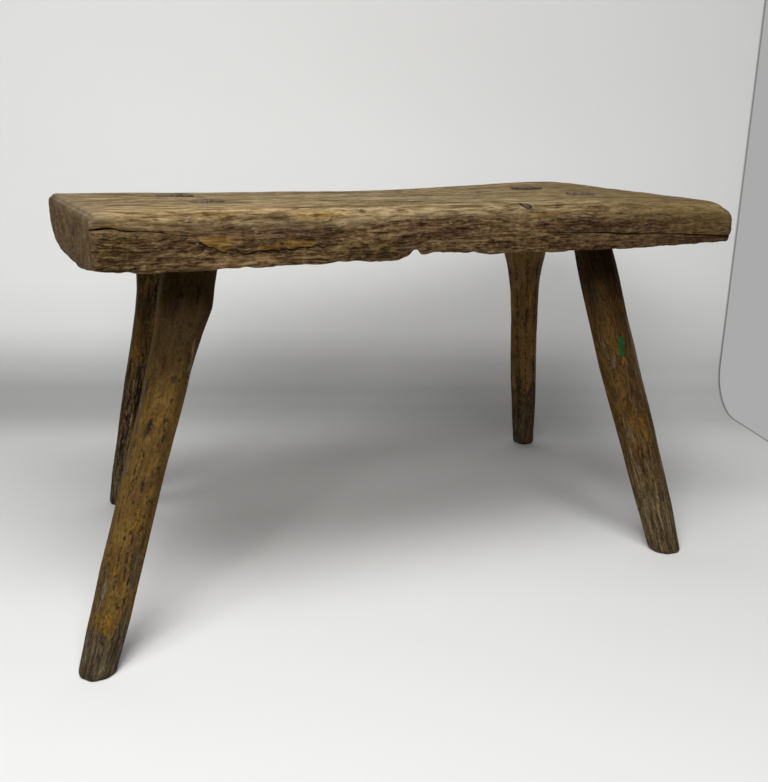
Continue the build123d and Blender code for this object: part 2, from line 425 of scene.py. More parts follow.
def add_node(tree, kind, settings=None, inputs=None, output=0):
    """Adds a node, with its settings first, then its inputs, and gives one of its outputs"""
    node = tree.nodes.new(kind)
    for key, value in (settings or {}).items():
        if key == "stops":
            elements = node.color_ramp.elements
            while len(elements) < len(value):
                elements.new(0.5)
            for element, (place, colour) in zip(elements, value):
                element.position = place
                element.color = (*colour, 1)
        else:
            setattr(node, key, value)
    for key, value in (inputs or {}).items():
        socket = find_socket(node.inputs, key)
        if isinstance(value, Wire):
            tree.links.new(value.socket, socket)
        elif socket.type == "RGBA":
            socket.default_value = (*value, 1)
        else:
            socket.default_value = value
    return Wire(tree, find_socket(node.outputs, output)) if node.outputs else node


def vector_sum(tree, operation, *values):
    """A socket for a sum of vectors"""
    return add_node(tree, "ShaderNodeVectorMath", {"operation": operation}, dict(enumerate(values)))


def dot_product(place, way):
    """How far a place lies along a direction"""
    settings = {"operation": "DOT_PRODUCT"}
    return add_node(place.tree, "ShaderNodeVectorMath", settings, {0: place, 1: way}, "Value")


def scaled(tree, vector, factor):
    """A socket for a vector multiplied by a number"""
    return add_node(tree, "ShaderNodeVectorMath", {"operation": "SCALE"}, {0: vector, "Scale": factor})


def along_grain(place, grain, lengthwise, crosswise):
    """A place scaled by one number along the grain and by another across it"""
    tree = place.tree
    lengthways = scaled(tree, grain, dot_product(place, grain) * (lengthwise - crosswise))
    return vector_sum(tree, "ADD", scaled(tree, place, crosswise), lengthways)


def noise(place, detail=2.0, roughness=0.5, distortion=0.0, scale=1.0):
    """A socket for random grey clouds from 0 to 1 at a place"""
    inputs = {
        "Vector": place,
        "Scale": scale,
        "Detail": detail,
        "Roughness": roughness,
        "Distortion": distortion,
    }
    return add_node(place.tree, "ShaderNodeTexNoise", {}, inputs, "Fac")


def blend_colours(share, low, high):
    """The low colour where the share is 0, the high one where it is 1"""
    inputs = {"Factor_Float": share, "A_Color": low, "B_Color": high}
    return add_node(share.tree, "ShaderNodeMix", {"data_type": "RGBA"}, inputs, "Result_Color")


def laid_over(colour, *layers):
    """A colour with others laid over it in turn, each in its own share"""
    for share, over in layers:
        colour = blend_colours(share, colour, over)
    return colour


def ramp(share, places, *colours):
    """Colours at places from 0 to 1 of a share, and blends between them"""
    settings = {"stops": list(zip(places, colours))}
    return add_node(share.tree, "ShaderNodeValToRGB", settings, {"Fac": share}, "Color")


# Places of the colours on a ramp
halves = (0.0, 0.5, 1.0)
quarters = (0.0, 0.25, 0.5, 0.75, 1.0)
inner = (0.1, 0.5, 0.9)


def new_finish(name):
    """A material with no nodes yet, and the place that its patterns read"""
    material = bpy.data.materials.new(name)
    material.use_nodes = True
    material.node_tree.nodes.clear()
    place = add_node(material.node_tree, "ShaderNodeTexCoord", output="Object")
    return material, place


def kept_mark(tree, name):
    """The number that a piece's points keep under a name"""
    return add_node(tree, "ShaderNodeAttribute", {"attribute_name": name}, {}, "Fac")


def put_on(colour, roughness, height, bump_depth, bump_strength=1.0):
    """Joins colour, roughness and relief to the shader and the output"""
    tree = colour.tree
    inputs = {"Strength": bump_strength, "Distance": bump_depth, "Height": height}
    normal = add_node(tree, "ShaderNodeBump", {}, inputs)
    inputs = {"Base Color": colour, "Roughness": roughness, "Normal": normal, "Specular IOR Level": 0.05}
    shader = add_node(tree, "ShaderNodeBsdfPrincipled", {}, inputs)
    add_node(tree, "ShaderNodeOutputMaterial", {}, {"Surface": shader})


# Relief of the weathered wood, for the seat and the legs alike
def relief_tree():
    """Pushes a surface in and out along the grain, and deepens its torn stretches"""
    tree = bpy.data.node_groups.new("Weathered relief", "GeometryNodeTree")
    kinds = {"Geometry": "Geometry", "Grain": "Vector", "Material": "Material"}
    for name in ("Ridge Length", "Ridge Width", "Ridge Depth", "Hollow Width", "Hollow Depth"):
        kinds[name] = "Float"
    for name, kind in kinds.items():
        tree.interface.new_socket(name, in_out="INPUT", socket_type=f"NodeSocket{kind}")
    tree.interface.new_socket("Geometry", in_out="OUTPUT", socket_type="NodeSocketGeometry")
    group = tree.nodes.new("NodeGroupInput")
    given = {name: Wire(tree, group.outputs[name]) for name in kinds}
    grain = given["Grain"]
    place = add_node(tree, "GeometryNodeInputPosition")
    normal = add_node(tree, "GeometryNodeInputNormal")
    torn = add_node(tree, "GeometryNodeInputNamedAttribute", {"data_type": "FLOAT"}, {"Name": "torn"})
    ridges = along_grain(place, grain, 1 / given["Ridge Length"], 1 / given["Ridge Width"])
    ridge = noise(ridges, detail=3, roughness=0.6) - 0.5
    hollows = along_grain(place, grain, 0.35 / given["Hollow Width"], 1 / given["Hollow Width"])
    hollow = noise(hollows, detail=1) - 0.5
    depth = ridge * given["Ridge Depth"] * torn + hollow * given["Hollow Depth"]
    inputs = {"Geometry": given["Geometry"], "Offset": scaled(tree, normal, depth * 2)}
    pushed = add_node(tree, "GeometryNodeSetPosition", {}, inputs)
    settings = {"data_type": "FLOAT", "domain": "POINT"}
    inputs = {"Geometry": pushed, "Name": "ridge", "Value": ridge}
    kept = add_node(tree, "GeometryNodeStoreNamedAttribute", settings, inputs)
    real = add_node(tree, "GeometryNodeRealizeInstances", {}, {"Geometry": kept})
    inputs = {"Geometry": real, "Material": given["Material"]}
    finished = add_node(tree, "GeometryNodeSetMaterial", {}, inputs)
    end = tree.nodes.new("NodeGroupOutput")
    tree.links.new(finished.socket, end.inputs[0])
    return tree


def weather(piece, tree, **values):
    """Puts the relief on a piece and makes it the piece's own shape"""
    relief = piece.modifiers.new("Relief", "NODES")
    relief.node_group = tree
    for item in tree.interface.items_tree:
        key = item.name.lower().replace(" ", "_")
        if item.in_out == "INPUT" and key in values:
            relief[item.identifier] = values[key]
    fix_mesh(piece)


# Seat
def crack_turns(places):
    """Small turns of the cracks, and larger ones where the old surface has broken away"""
    jagged = eased(places, -0.238, -0.232) * eased(-places, 0.116, 0.122)
    return wander(places, *crack_wander) + wander(places, *jagged_wander) * jagged


def crack_line(rows, places):
    """Height, half width and depth of a crack at places along the seat"""
    inside = (places >= rows[0][0]) & (places <= rows[-1][0])
    return (
        from_table(rows, places, 1) + crack_turns(places),
        from_table(rows, places, 2),
        from_table(rows, places, 3) * inside,
    )


def crack_opening(along, height):
    """How deep the front face's cracks are at a place, from 0 to their full depth"""
    depth = np.zeros_like(along)
    for rows in cracks:
        line, half_width, full = crack_line(rows, along)
        share = np.clip(1 - np.abs(height - line) / (half_width + 0.0003), 0, 1)
        depth = np.maximum(depth, share**0.7 * full)
    return depth


def seat_sides(stations, inset):
    """Four sides of each section as paths: front, top, back and underside"""
    share = stations / seat_length
    front = -seat_width / 2 + inset + wander(stations, *front_wander)
    back = seat_width / 2 - inset + wander(stations, *back_wander)
    front_top = softened(from_table(front_rise_shares, share), 8) * seat_thickness - inset
    back_top = softened(from_table(back_rise_shares, share), 8) * seat_thickness - inset
    base = -seat_thickness - left_end_sag * eased(-share, 0.38, 0.5) + inset * 0.4
    base = base + wander(stations, *base_wander)
    edge_share = softened(from_table(front_edge_shares, share), 8)
    edge_back = front + front_edge_width * edge_share
    edge_foot = front_top - front_edge_drop * edge_share
    low = -from_table(lower_edge_shares, share) * seat_thickness + inset * 0.4
    low = low + wander(stations, *lower_edge_wander) + wander(stations, *lower_edge_ripple)
    under_top = low + underside_corner_radius
    under_back = front + np.maximum(underside_edge_width, (low - base) * torn_edge_slope)
    corner = ((front + underside_corner_radius, low - 0.0002), (front, low), (front, under_top))
    face = ((front, under_top), (front - 0.0008, (under_top + edge_foot) / 2), (front, edge_foot))
    front_edge = ((front, edge_foot), (front, front_top), (edge_back, front_top))
    middle = seat_width * 0.05
    middle_top = (front_top + back_top) / 2 + wander(stations, *top_wander)
    top = (
        (edge_back, front_top),
        (front / 2, front_top * 0.7 + back_top * 0.3),
        (middle, middle_top),
        (back / 2, front_top * 0.2 + back_top * 0.8),
        (back - back_edge_radius, back_top),
    )
    edge_end = (back, back_top - back_edge_radius)
    back_edge = ((back - back_edge_radius, back_top), (back, back_top), edge_end)
    wane_end = (back - wane_width, base)
    wane = (edge_end, (back, base + back_edge_radius), (back - wane_width * 0.42, base), wane_end)
    level = (wane_end, (under_back, base))
    rise = (
        (under_back, base),
        (front * 0.55 + under_back * 0.45, (base + low) / 2 - 0.0002),
        (front + underside_corner_radius, low - 0.0002),
    )
    return (
        joined(bend(*corner, start=0.5), bend(*face), bend(*front_edge, stop=0.5)),
        joined(bend(*front_edge, start=0.5), bend(*top, steps=25), bend(*back_edge, stop=0.5)),
        joined(bend(*back_edge, start=0.5), bend(*wane, stop=0.45, steps=15)),
        joined(
            bend(*wane, start=0.45, steps=15),
            bend(*level, steps=15),
            bend(*rise),
            bend(*corner, stop=0.5),
        ),
    )


# Points up each section's front, across its top and below the cracks, the sections between the
# rounded ends, and the angles at which the ends and the feet are rounded
front_rows = 41
top_rows = 72
bundle_start = 12
middle_stations = 360
round_angles = np.radians([90, 72, 54, 36, 18, 0])


def seat_stations():
    """Places of the sections along the seat, and how far each is drawn in at a rounded end"""
    left = -seat_length / 2 + left_end_radius * (1 - np.sin(round_angles))
    right = seat_length / 2 - right_end_radius * (1 - np.sin(round_angles))
    middle = np.linspace(left[-1], right[-1], middle_stations)
    stations = np.concatenate([left[:-1], middle, right[-2::-1]])
    inset = np.zeros_like(stations)
    inset[: len(round_angles)] = left_end_radius * (1 - np.cos(round_angles))
    inset[-len(round_angles) :] = (right_end_radius * (1 - np.cos(round_angles)))[::-1]
    return stations, inset


def followed_line(stations):
    """The height that the bundle of rows follows: crack after crack, gliding between them"""
    rows = sorted((row[0], row[1]) for line in cracks for row in line)
    return from_table(rows, stations) + crack_turns(stations)


def end_shift(stations, across, height):
    """How far the ends' own shapes move a point along the seat"""
    share = across / seat_width
    left = left_end_skew * (share + 0.5) * eased(-stations, 0.4 * seat_length, 0.5 * seat_length)
    nose = right_nose * (1 - ((height + right_nose_level) / right_nose_level) ** 2)
    front_corner = -right_front_corner_loss * np.clip((-share - 0.38) / 0.12, 0, 1) ** 2
    swell = right_back_swell * eased(share, -0.1, 0.42)
    back_corner = swell - right_back_corner_loss * np.clip((share - 0.36) / 0.14, 0, 1) ** 2
    near_right = eased(stations, 0.38 * seat_length, 0.5 * seat_length)
    return left + (nose + front_corner + back_corner) * near_right


def top_height(along, across):
    """Height of the seat's top over its plane"""
    share = along / seat_length
    front_top = from_table(front_rise_shares, share) * seat_thickness
    back_top = from_table(back_rise_shares, share) * seat_thickness
    return front_top + (back_top - front_top) * (across / seat_width + 0.5)


def round_rims(along, across, height):
    """Wears the top rim of each end round: a square corner is drawn in to a quarter circle"""
    depth = top_height(along, across) - height
    for side, radius in ((-1, left_rim_radius), (1, right_rim_radius)):
        from_end = radius - (seat_length / 2 - side * along)
        from_top = radius - depth
        inside = (from_end > 0) & (from_top > 0)
        reach = np.where(inside, np.hypot(from_end, from_top), 1)
        shrink = np.where(inside, np.maximum(from_end, from_top) / reach, 1)
        along = along - side * from_end * (1 - shrink) * inside
        height = height - from_top * (1 - shrink) * inside
    return along, height


def make_seat():
    """The slab: sections along its length, with a bundle of rows on the cracks, and two ends"""
    stations, inset = seat_stations()
    sides = seat_sides(stations, inset)
    line = followed_line(stations)
    top_shares = np.linspace(0, 1, top_rows) ** 1.5
    loops = []
    front_shares = []
    for index in range(len(stations)):
        front, top, back, under = (side[index] for side in sides)
        length = path_length(front)
        crack_place = np.interp(line[index], front[:, 1], lengths_along(front))
        crack_place = np.clip(crack_place, 0.004, length - 0.008)
        low_rows = np.linspace(0, crack_place + crack_row_offsets[0], bundle_start + 1)[:-1]
        high_count = front_rows - bundle_start - len(crack_row_offsets)
        high_rows = np.linspace(crack_place + crack_row_offsets[-1], length, high_count + 1)[1:]
        rows = np.concatenate([low_rows, crack_place + np.array(crack_row_offsets), high_rows])
        front_shares.append(rows / length)
        loops.append(
            np.concatenate(
                [
                    spread(front, rows)[:-1],
                    spread(top, top_shares * path_length(top))[:-1],
                    spread(back, (1 - rows[::-1] / length) * path_length(back))[:-1],
                    spread(under, (1 - top_shares[::-1]) * path_length(under))[:-1],
                ]
            )
        )
    loops = np.array(loops)
    across, height = loops[..., 0], loops[..., 1]
    along = np.repeat(stations[:, None], loops.shape[1], axis=1)
    along[:, 1 - top_rows :] += splinter_slant(along, across)[:, 1 - top_rows :]
    front_row = np.zeros(loops.shape[1])
    front_row[:front_rows] = 1
    across = across + crack_opening(along, height) * front_row
    below = eased(ragged_height(along) - height, 0, 0.0008) * eased(height, -0.043, -0.036)
    recess = below * eased(along, -0.236, -0.232) * eased(-along, 0.118, 0.135)
    across = across + broken_recess * recess * front_row
    along, height = round_rims(along, across, height)
    along = along + end_shift(along, across, height)
    count = loops.shape[1]
    sections = np.stack([along, across, height], axis=-1)
    points = [sections.reshape(-1, 3)]
    numbers = np.arange(len(stations) * count).reshape(len(stations), count)
    faces = quads(numbers, wrap=True)
    next_number = len(stations) * count
    for station in (0, len(stations) - 1):
        cap, cap_numbers = end_face(
            numbers[station],
            sections[station],
            front_shares[station],
            top_shares,
            next_number,
            station == 0,
        )
        points.append(cap)
        faces += quads(cap_numbers)
        next_number += len(cap)
    places = np.concatenate(points)
    placed = seat_to_frame(places[:, 0], places[:, 1], places[:, 2])
    return make_piece("seat_slab", placed, faces)


def splinter_slant(along, across):
    """How far the underside's torn front runs sideways, so that the chip opens to the back right"""
    behind = np.clip(across + seat_width / 2, 0, None)
    near_chip = eased(along, -0.19, -0.075) * eased(-along, -0.13, 0.03)
    slant = splinter_slope * np.minimum(behind, splinter_reach)
    return slant * (1 - eased(behind, 0.12, 0.24)) * near_chip


def ragged_height(along):
    """Height of the lowest edge of the old surface, where it has broken away"""
    return crack_line(ragged_crack, along)[0]


def end_rings(across, height, spacing):
    """Waves from -1 to 1 round a middle beside the left end"""
    reach = np.hypot((across + 0.03) * 0.55, height - 0.03)
    return np.sin(reach * 2 * math.pi / spacing + 3 * np.sin(across * 40))


def end_face(loop_numbers, loop, front_shares, top_shares, first_number, is_left):
    """A grid across one end of the slab, its rim on the last section"""
    count = len(loop)
    numbers = np.full((top_rows, front_rows), -1)
    rim = {
        "front": [(0, row, row) for row in range(front_rows)],
        "top": [(row, front_rows - 1, front_rows - 1 + row) for row in range(top_rows)],
        "back": [
            (top_rows - 1, row, 2 * (front_rows - 1) + top_rows - 1 - row)
            for row in range(front_rows)
        ],
        "under": [(row, 0, (count - row) % count) for row in range(top_rows)],
    }
    places = np.zeros((top_rows, front_rows, 3))
    for side in rim.values():
        for column, row, number in side:
            numbers[column, row] = loop_numbers[number]
            places[column, row] = loop[number]
    across_share = top_shares[:, None, None]
    up_share = front_shares[None, :, None]
    patch = (
        (1 - up_share) * places[:, :1]
        + up_share * places[:, -1:]
        + (1 - across_share) * places[:1]
        + across_share * places[-1:]
        - (1 - across_share) * (1 - up_share) * places[:1, :1]
        - across_share * (1 - up_share) * places[-1:, :1]
        - (1 - across_share) * up_share * places[:1, -1:]
        - across_share * up_share * places[-1:, -1:]
    )
    face = patch[1:-1, 1:-1].reshape(-1, 3)
    across, height = face[:, 1], face[:, 2]
    if is_left:
        marks = saw_mark_depth * end_rings(across, height, saw_mark_spacing)
        face[:, 0] += marks * eased(0.155 - np.abs(across), 0, 0.02)
    else:
        line = crack_line(right_crack, np.full_like(height, seat_length / 2))
        opening = np.clip(1 - np.abs(height - line[0]) / (line[1] + 0.0004), 0, 1) ** 0.6
        face[:, 0] -= opening * line[2] * eased(-across, 0.1, 0.155)
    numbers[1:-1, 1:-1] = first_number + np.arange(len(face)).reshape(top_rows - 2, front_rows - 2)
    return face, numbers


# Level sections of each leg, as in the part: a height in shares of the seat's, and how far the
# section reaches to each side of the axis in shares of the leg's radius
leg_section_shares = by_leg(
    (
        (0.0, 0.84, 0.79), (0.08, 0.89, 0.83), (0.2, 0.95, 0.86), (0.36, 0.93, 0.91),
        (0.6, 1.02, 1.04), (0.69, 1.08, 1.2), (0.745, 1.22, 1.4), (0.8, 1.36, 1.24),
        (0.87, 1.44, 1.14),
    ),
    (
        (0.0, 0.89, 0.92), (0.13, 1.0, 1.03), (0.35, 1.17, 1.11), (0.52, 1.27, 1.07),
        (0.66, 1.27, 1.11), (0.75, 1.21, 1.14), (0.82, 1.15, 1.17), (0.87, 1.09, 1.14),
    ),
    (
        (0.0, 0.83, 0.8), (0.1, 0.94, 0.86), (0.35, 1.03, 0.92), (0.53, 1.08, 0.96),
        (0.65, 1.11, 1.0), (0.72, 1.22, 1.1), (0.77, 1.42, 1.22), (0.87, 1.6, 1.34),
    ),
    (
        (0.0, 0.8, 0.71), (0.12, 0.9, 0.83), (0.3, 1.0, 0.88), (0.55, 0.98, 0.87),
        (0.65, 1.02, 0.93), (0.7, 1.12, 0.99), (0.75, 1.27, 1.15), (0.79, 1.46, 1.34),
        (0.87, 1.72, 1.6),
    ),
)
leg_depth_shares = by_leg(0.94, 0.9, 0.96, 1.0)
# Middle of each foot on the floor
leg_feet = by_leg((-0.318, -0.17616), (0.25081, -0.17749), (-0.23956, 0.1676), (0.32012, 0.17873))
# How much higher than in the part each tenon's worn end stands, and its dome over that
tenon_lifts = by_leg(-0.0001, 0.0001, 0.0003, 0.0001)
tenon_domes = by_leg(0.0004, 0.0005, 0.0015, 0.0005)
# How far each arris stands out, in shares of the section
facet_edge_shares = (1.0, 0.96, 1.02, 0.97, 1.0, 0.98, 1.03, 0.97)


def cad_points(node):
    """A CAD node's corner points, each once"""
    return np.unique(points_of(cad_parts[node].data).round(6), axis=0)


class LegShape:
    """One leg: its axis from the foot to the tenon's end, and its sections"""

    def __init__(self, name):
        self.name = name
        points = cad_points(f"leg_{name}")
        levels = points @ seat_up
        end = points[levels > levels.max() - 0.0001]
        self.end_level = levels.max()
        self.under_level = seat_origin @ seat_up - seat_thickness
        self.tenon_middle = (end.min(0) + end.max(0)) / 2
        self.foot = np.array([*leg_feet[name], 0])
        self.axis = unit(self.tenon_middle - self.foot)
        self.across_grain = unit(np.cross(self.axis, seat_along))
        self.with_grain = np.cross(self.across_grain, self.axis)
        self.tenon_radius = np.ptp(end @ self.with_grain) / 2
        self.shown_level = self.end_level + tenon_lifts[name]
        self.dome = tenon_domes[name]

    def corners(self, heights):
        """The eight corners of the level sections at heights over the floor"""
        rows = leg_section_shares[self.name]
        left = softened(from_table(rows, heights / seat_height, 1), 6)[:, None] * leg_radius
        right = softened(from_table(rows, heights / seat_height, 2), 6)[:, None] * leg_radius
        angle = facet_angle * np.arange(facet_count)
        edge = np.array(facet_edge_shares)
        across = (left + right) / 2 * np.cos(angle) * edge + (right - left) / 2
        deep = (left + right) / 2 * leg_depth_shares[self.name] * np.sin(angle) * edge
        middle = self.foot + np.outer(heights, self.axis / self.axis[2])
        return middle[:, None] + across[..., None] * facet_right + deep[..., None] * facet_away

    def at_level(self, points, level):
        """Points moved along the leg's axis to a level of the seat's plane"""
        gap = level - points @ seat_up
        return points + np.outer(gap / (self.axis @ seat_up), self.axis)

    def outward(self, turn):
        """Directions out of the tenon at angles round its axis"""
        return np.outer(np.cos(turn), self.with_grain) + np.outer(np.sin(turn), self.across_grain)

    def from_axis(self, points):
        """The shortest ways from the tenon's axis to points"""
        offset = points - self.tenon_middle
        return offset - np.outer(offset @ self.axis, self.axis)


# Spacing of the rings up a leg, and the rings on its two ends in shares of their radius
leg_step = 0.0011
cap_shares = (0.86, 0.7, 0.54, 0.38, 0.22, 0.1)


def make_leg(name, shape, seed):
    """One hewn stick: eight soft facets from the foot to the shoulder, then the tenon"""
    free_length = (shape.under_level - shape.foot @ seat_up) / (shape.axis @ seat_up)
    shoulder = shape.foot[2] + free_length * shape.axis[2]
    straight = np.arange(foot_radius + leg_step, shoulder - 0.001, leg_step)
    heights = np.concatenate([foot_radius * (1 - np.sin(round_angles)), straight])
    heights[0] = 0
    corners = shape.corners(heights)
    corners = np.concatenate([corners, corners[:, :1]], axis=1)
    share = np.linspace(0, 1, points_per_facet, endpoint=False)[:, None]
    facets = [
        corners[:, index, None] * (1 - share) + corners[:, index + 1, None] * share
        for index in range(facet_count)
    ]
    rings = np.concatenate(facets, axis=1)
    rounding = np.hanning(13)[1:-1]
    rounding /= rounding.sum()
    reach = len(rounding) // 2
    rings = sum(
        weight * np.roll(rings, shift, axis=1)
        for shift, weight in zip(range(-reach, reach + 1), rounding)
    )
    middle = rings.mean(axis=1, keepdims=True)
    outward = rings - middle
    outward[..., 2] = 0
    size = np.linalg.norm(outward, axis=-1, keepdims=True)
    hewn = np.stack(
        [
            wander(heights, hewn_spacing, hewn_depth, seed + index // points_per_facet)
            for index in range(rings.shape[1])
        ],
        axis=1,
    )
    hewn = sum(np.roll(hewn, shift, axis=1) for shift in (-2, -1, 0, 1, 2)) / 5
    rings = rings + outward / size * (hewn[..., None] + arris_loss)
    under_round = np.clip(foot_radius - heights, 0, None)
    drawn_in = foot_radius - np.sqrt(np.clip(foot_radius**2 - under_round**2, 0, None))
    rings = rings - outward / size * drawn_in[:, None, None] * foot_roundness
    rings[0, :, 2] = 0
    head = shape.at_level(rings[-1], shape.under_level + head_overlap)
    offset = head - shape.tenon_middle
    round_out = shape.outward(np.arctan2(offset @ shape.across_grain, offset @ shape.with_grain))
    tenon = []
    tenon_levels = np.linspace(shape.under_level + head_overlap, shape.shown_level - tenon_bevel, 14)
    bar = shape.tenon_middle + round_out * shape.tenon_radius
    for level in tenon_levels:
        tenon.append(shape.at_level(bar, level))
    rim = shape.tenon_middle + round_out * (shape.tenon_radius - tenon_bevel)
    tenon.append(shape.at_level(rim, shape.shown_level))
    for cap_share in cap_shares:
        level = shape.shown_level + shape.dome * (1 - cap_share**2)
        cap_ring = shape.tenon_middle + round_out * shape.tenon_radius * cap_share
        tenon.append(shape.at_level(cap_ring, level))
    sole_middle = rings[0].mean(axis=0)
    sole = [rings[0] * cap_share + sole_middle * (1 - cap_share) for cap_share in cap_shares[::-1]]
    rows = np.concatenate([np.array(sole), rings, head[None], np.array(tenon)])
    count = rows.shape[1]
    numbers = np.arange(rows.shape[0] * count).reshape(rows.shape[:2])
    faces = quads(numbers, wrap=True)
    top_pole = shape.at_level(shape.tenon_middle[None], shape.shown_level + shape.dome)[0]
    poles = np.array([sole_middle, top_pole])
    for pole, row in ((rows.shape[0] * count, numbers[0]), (rows.shape[0] * count + 1, numbers[-1])):
        faces += [[pole, row[index], row[(index + 1) % count]] for index in range(count)]
    return make_piece(f"stick_{name}", np.concatenate([rows.reshape(-1, 3), poles]), faces)


def kerf_cutter(name, shape):
    """A prism that opens the tenon for its wedge, with a hair's gap round it"""
    wedge = cad_points(f"wedge_{name}")
    mouth = np.ptp(wedge @ shape.with_grain) / 2 + kerf_gap
    depth = np.ptp(wedge @ shape.axis) + 0.001
    outline = ((0, -depth), (mouth * 1.3, 0.01), (-mouth * 1.3, 0.01))
    top = shape.tenon_middle
    points = []
    for side in (-0.03, 0.03):
        for with_grain, up in outline:
            corner = top + shape.with_grain * with_grain + shape.axis * up
            points.append(corner + shape.across_grain * side)
    faces = [[0, 1, 2], [3, 4, 5], [0, 1, 4, 3], [1, 2, 5, 4], [2, 0, 3, 5]]
    return make_piece(f"kerf_{name}", np.array(points), faces)


def mortise_cutter(name, shape):
    """A round bar on the tenon's axis, a hair wider than the tenon"""
    count = 48
    out = shape.outward(np.linspace(0, 2 * math.pi, count, endpoint=False))
    rims = [
        shape.tenon_middle + out * (shape.tenon_radius + mortise_gap) + shape.axis * far
        for far in (-0.09, 0.02)
    ]
    numbers = np.arange(2 * count).reshape(2, count)
    faces = quads(numbers, wrap=True) + [numbers[0].tolist(), numbers[1].tolist()]
    return make_piece(f"bar_{name}", np.concatenate(rims), faces)


# Finishes
def seat_places(place):
    """Sockets for the place along, across and over the seat's own plane"""
    tree = place.tree
    offset = vector_sum(tree, "SUBTRACT", place, tuple(seat_origin))
    across = add_node(tree, "ShaderNodeSeparateXYZ", {}, {"Vector": offset}, "Y")
    return dot_product(offset, tuple(seat_along)), across, dot_product(offset, tuple(seat_up))


# Small cuts drawn by the finish: from and to along the seat, the place across or the height at
# both, and a half width. The first are on the top, the others on the front.
top_cuts = (
    (0.062, 0.126, -0.1478, -0.1452, 0.0007), (0.092, 0.106, -0.1478, -0.1462, 0.0012),
    (0.12, 0.19, -0.1455, -0.142, 0.0004), (-0.2612, -0.255, -0.0885, -0.0898, 0.003),
    (-0.262, -0.2, 0.07, 0.085, 0.003), (-0.212, -0.165, -0.0345, -0.0385, 0.0024),
    (-0.01, 0.06, -0.06, -0.058, 0.0016), (0.11, 0.15, 0.03, 0.034, 0.003),
)
front_cuts = (
    (-0.0955, -0.0915, -0.0282, -0.0308, 0.0004), (-0.092, -0.088, -0.0308, -0.0293, 0.0003),
    (-0.0875, -0.0825, -0.0312, -0.029, 0.0004), (-0.025, 0.0135, -0.0216, -0.0227, 0.0004),
    (-0.096, -0.073, -0.0217, -0.0236, 0.0004), (-0.076, -0.04, -0.0258, -0.0272, 0.0004),
    (-0.16, -0.128, -0.0408, -0.0428, 0.0005), (-0.135, -0.092, -0.0425, -0.0365, 0.0004),
    (0.03, 0.062, -0.0262, -0.0258, 0.0003), (-0.305, -0.296, -0.0195, -0.0215, 0.0005),
    (-0.307, -0.292, -0.027, -0.0262, 0.0003), (-0.309, -0.295, -0.0335, -0.0345, 0.0003),
    (-0.304, -0.288, -0.0395, -0.0385, 0.0003),
)
# The knot near the front: its place along and its height, and half its sizes
knot_place = (0.0643, -0.0195)
knot_half_sizes = (0.0052, 0.0027)


def drawn_cuts(cuts, along, level, wobble):
    """Thin lines that taper to both ends"""
    drawn = None
    for start, stop, low, high, half_width in cuts:
        share = (along - start) / (stop - start)
        taper = (share * (1 - share) * 4).most(0.0)
        gap = level - (share * (high - low) + low) + wobble
        line = (taper * half_width - gap.sum("ABSOLUTE", gap)) / half_width
        drawn = line if drawn is None else drawn.most(line)
    return drawn.step(-0.2, 0.6)


def stretched_noise(place, lengthwise, crosswise, detail, roughness=0.6, distortion=0.0):
    """Noise drawn out along the seat's grain, about 0"""
    stretched = along_grain(place, tuple(seat_along), lengthwise, crosswise)
    return noise(stretched, detail, roughness, distortion) - 0.5


def top_tone(swayed, calm):
    """Light and dark of the worn top, broad across the grain because it is seen so flat"""
    growth = stretched_noise(swayed, 7, 105, 4)
    fibres = stretched_noise(swayed, 42, 260, 4, 0.68)
    mottle = stretched_noise(swayed, 70, 120, 3)
    return (growth * 2.2 + fibres * 2.7 + mottle * 0.9) * calm + 0.5


def front_tone(swayed, calm):
    """Light and dark of the torn front"""
    broad = stretched_noise(swayed, 17, 85, 3)
    lines = stretched_noise(swayed, 62, 560, 4, 0.68)
    flakes = stretched_noise(swayed, 170, 430, 3, 0.65, 0.6)
    ridge = kept_mark(swayed.tree, "ridge")
    return (broad * 1.2 + lines * 2.4 + flakes * 1.7 + ridge * 0.3) * calm + 0.5


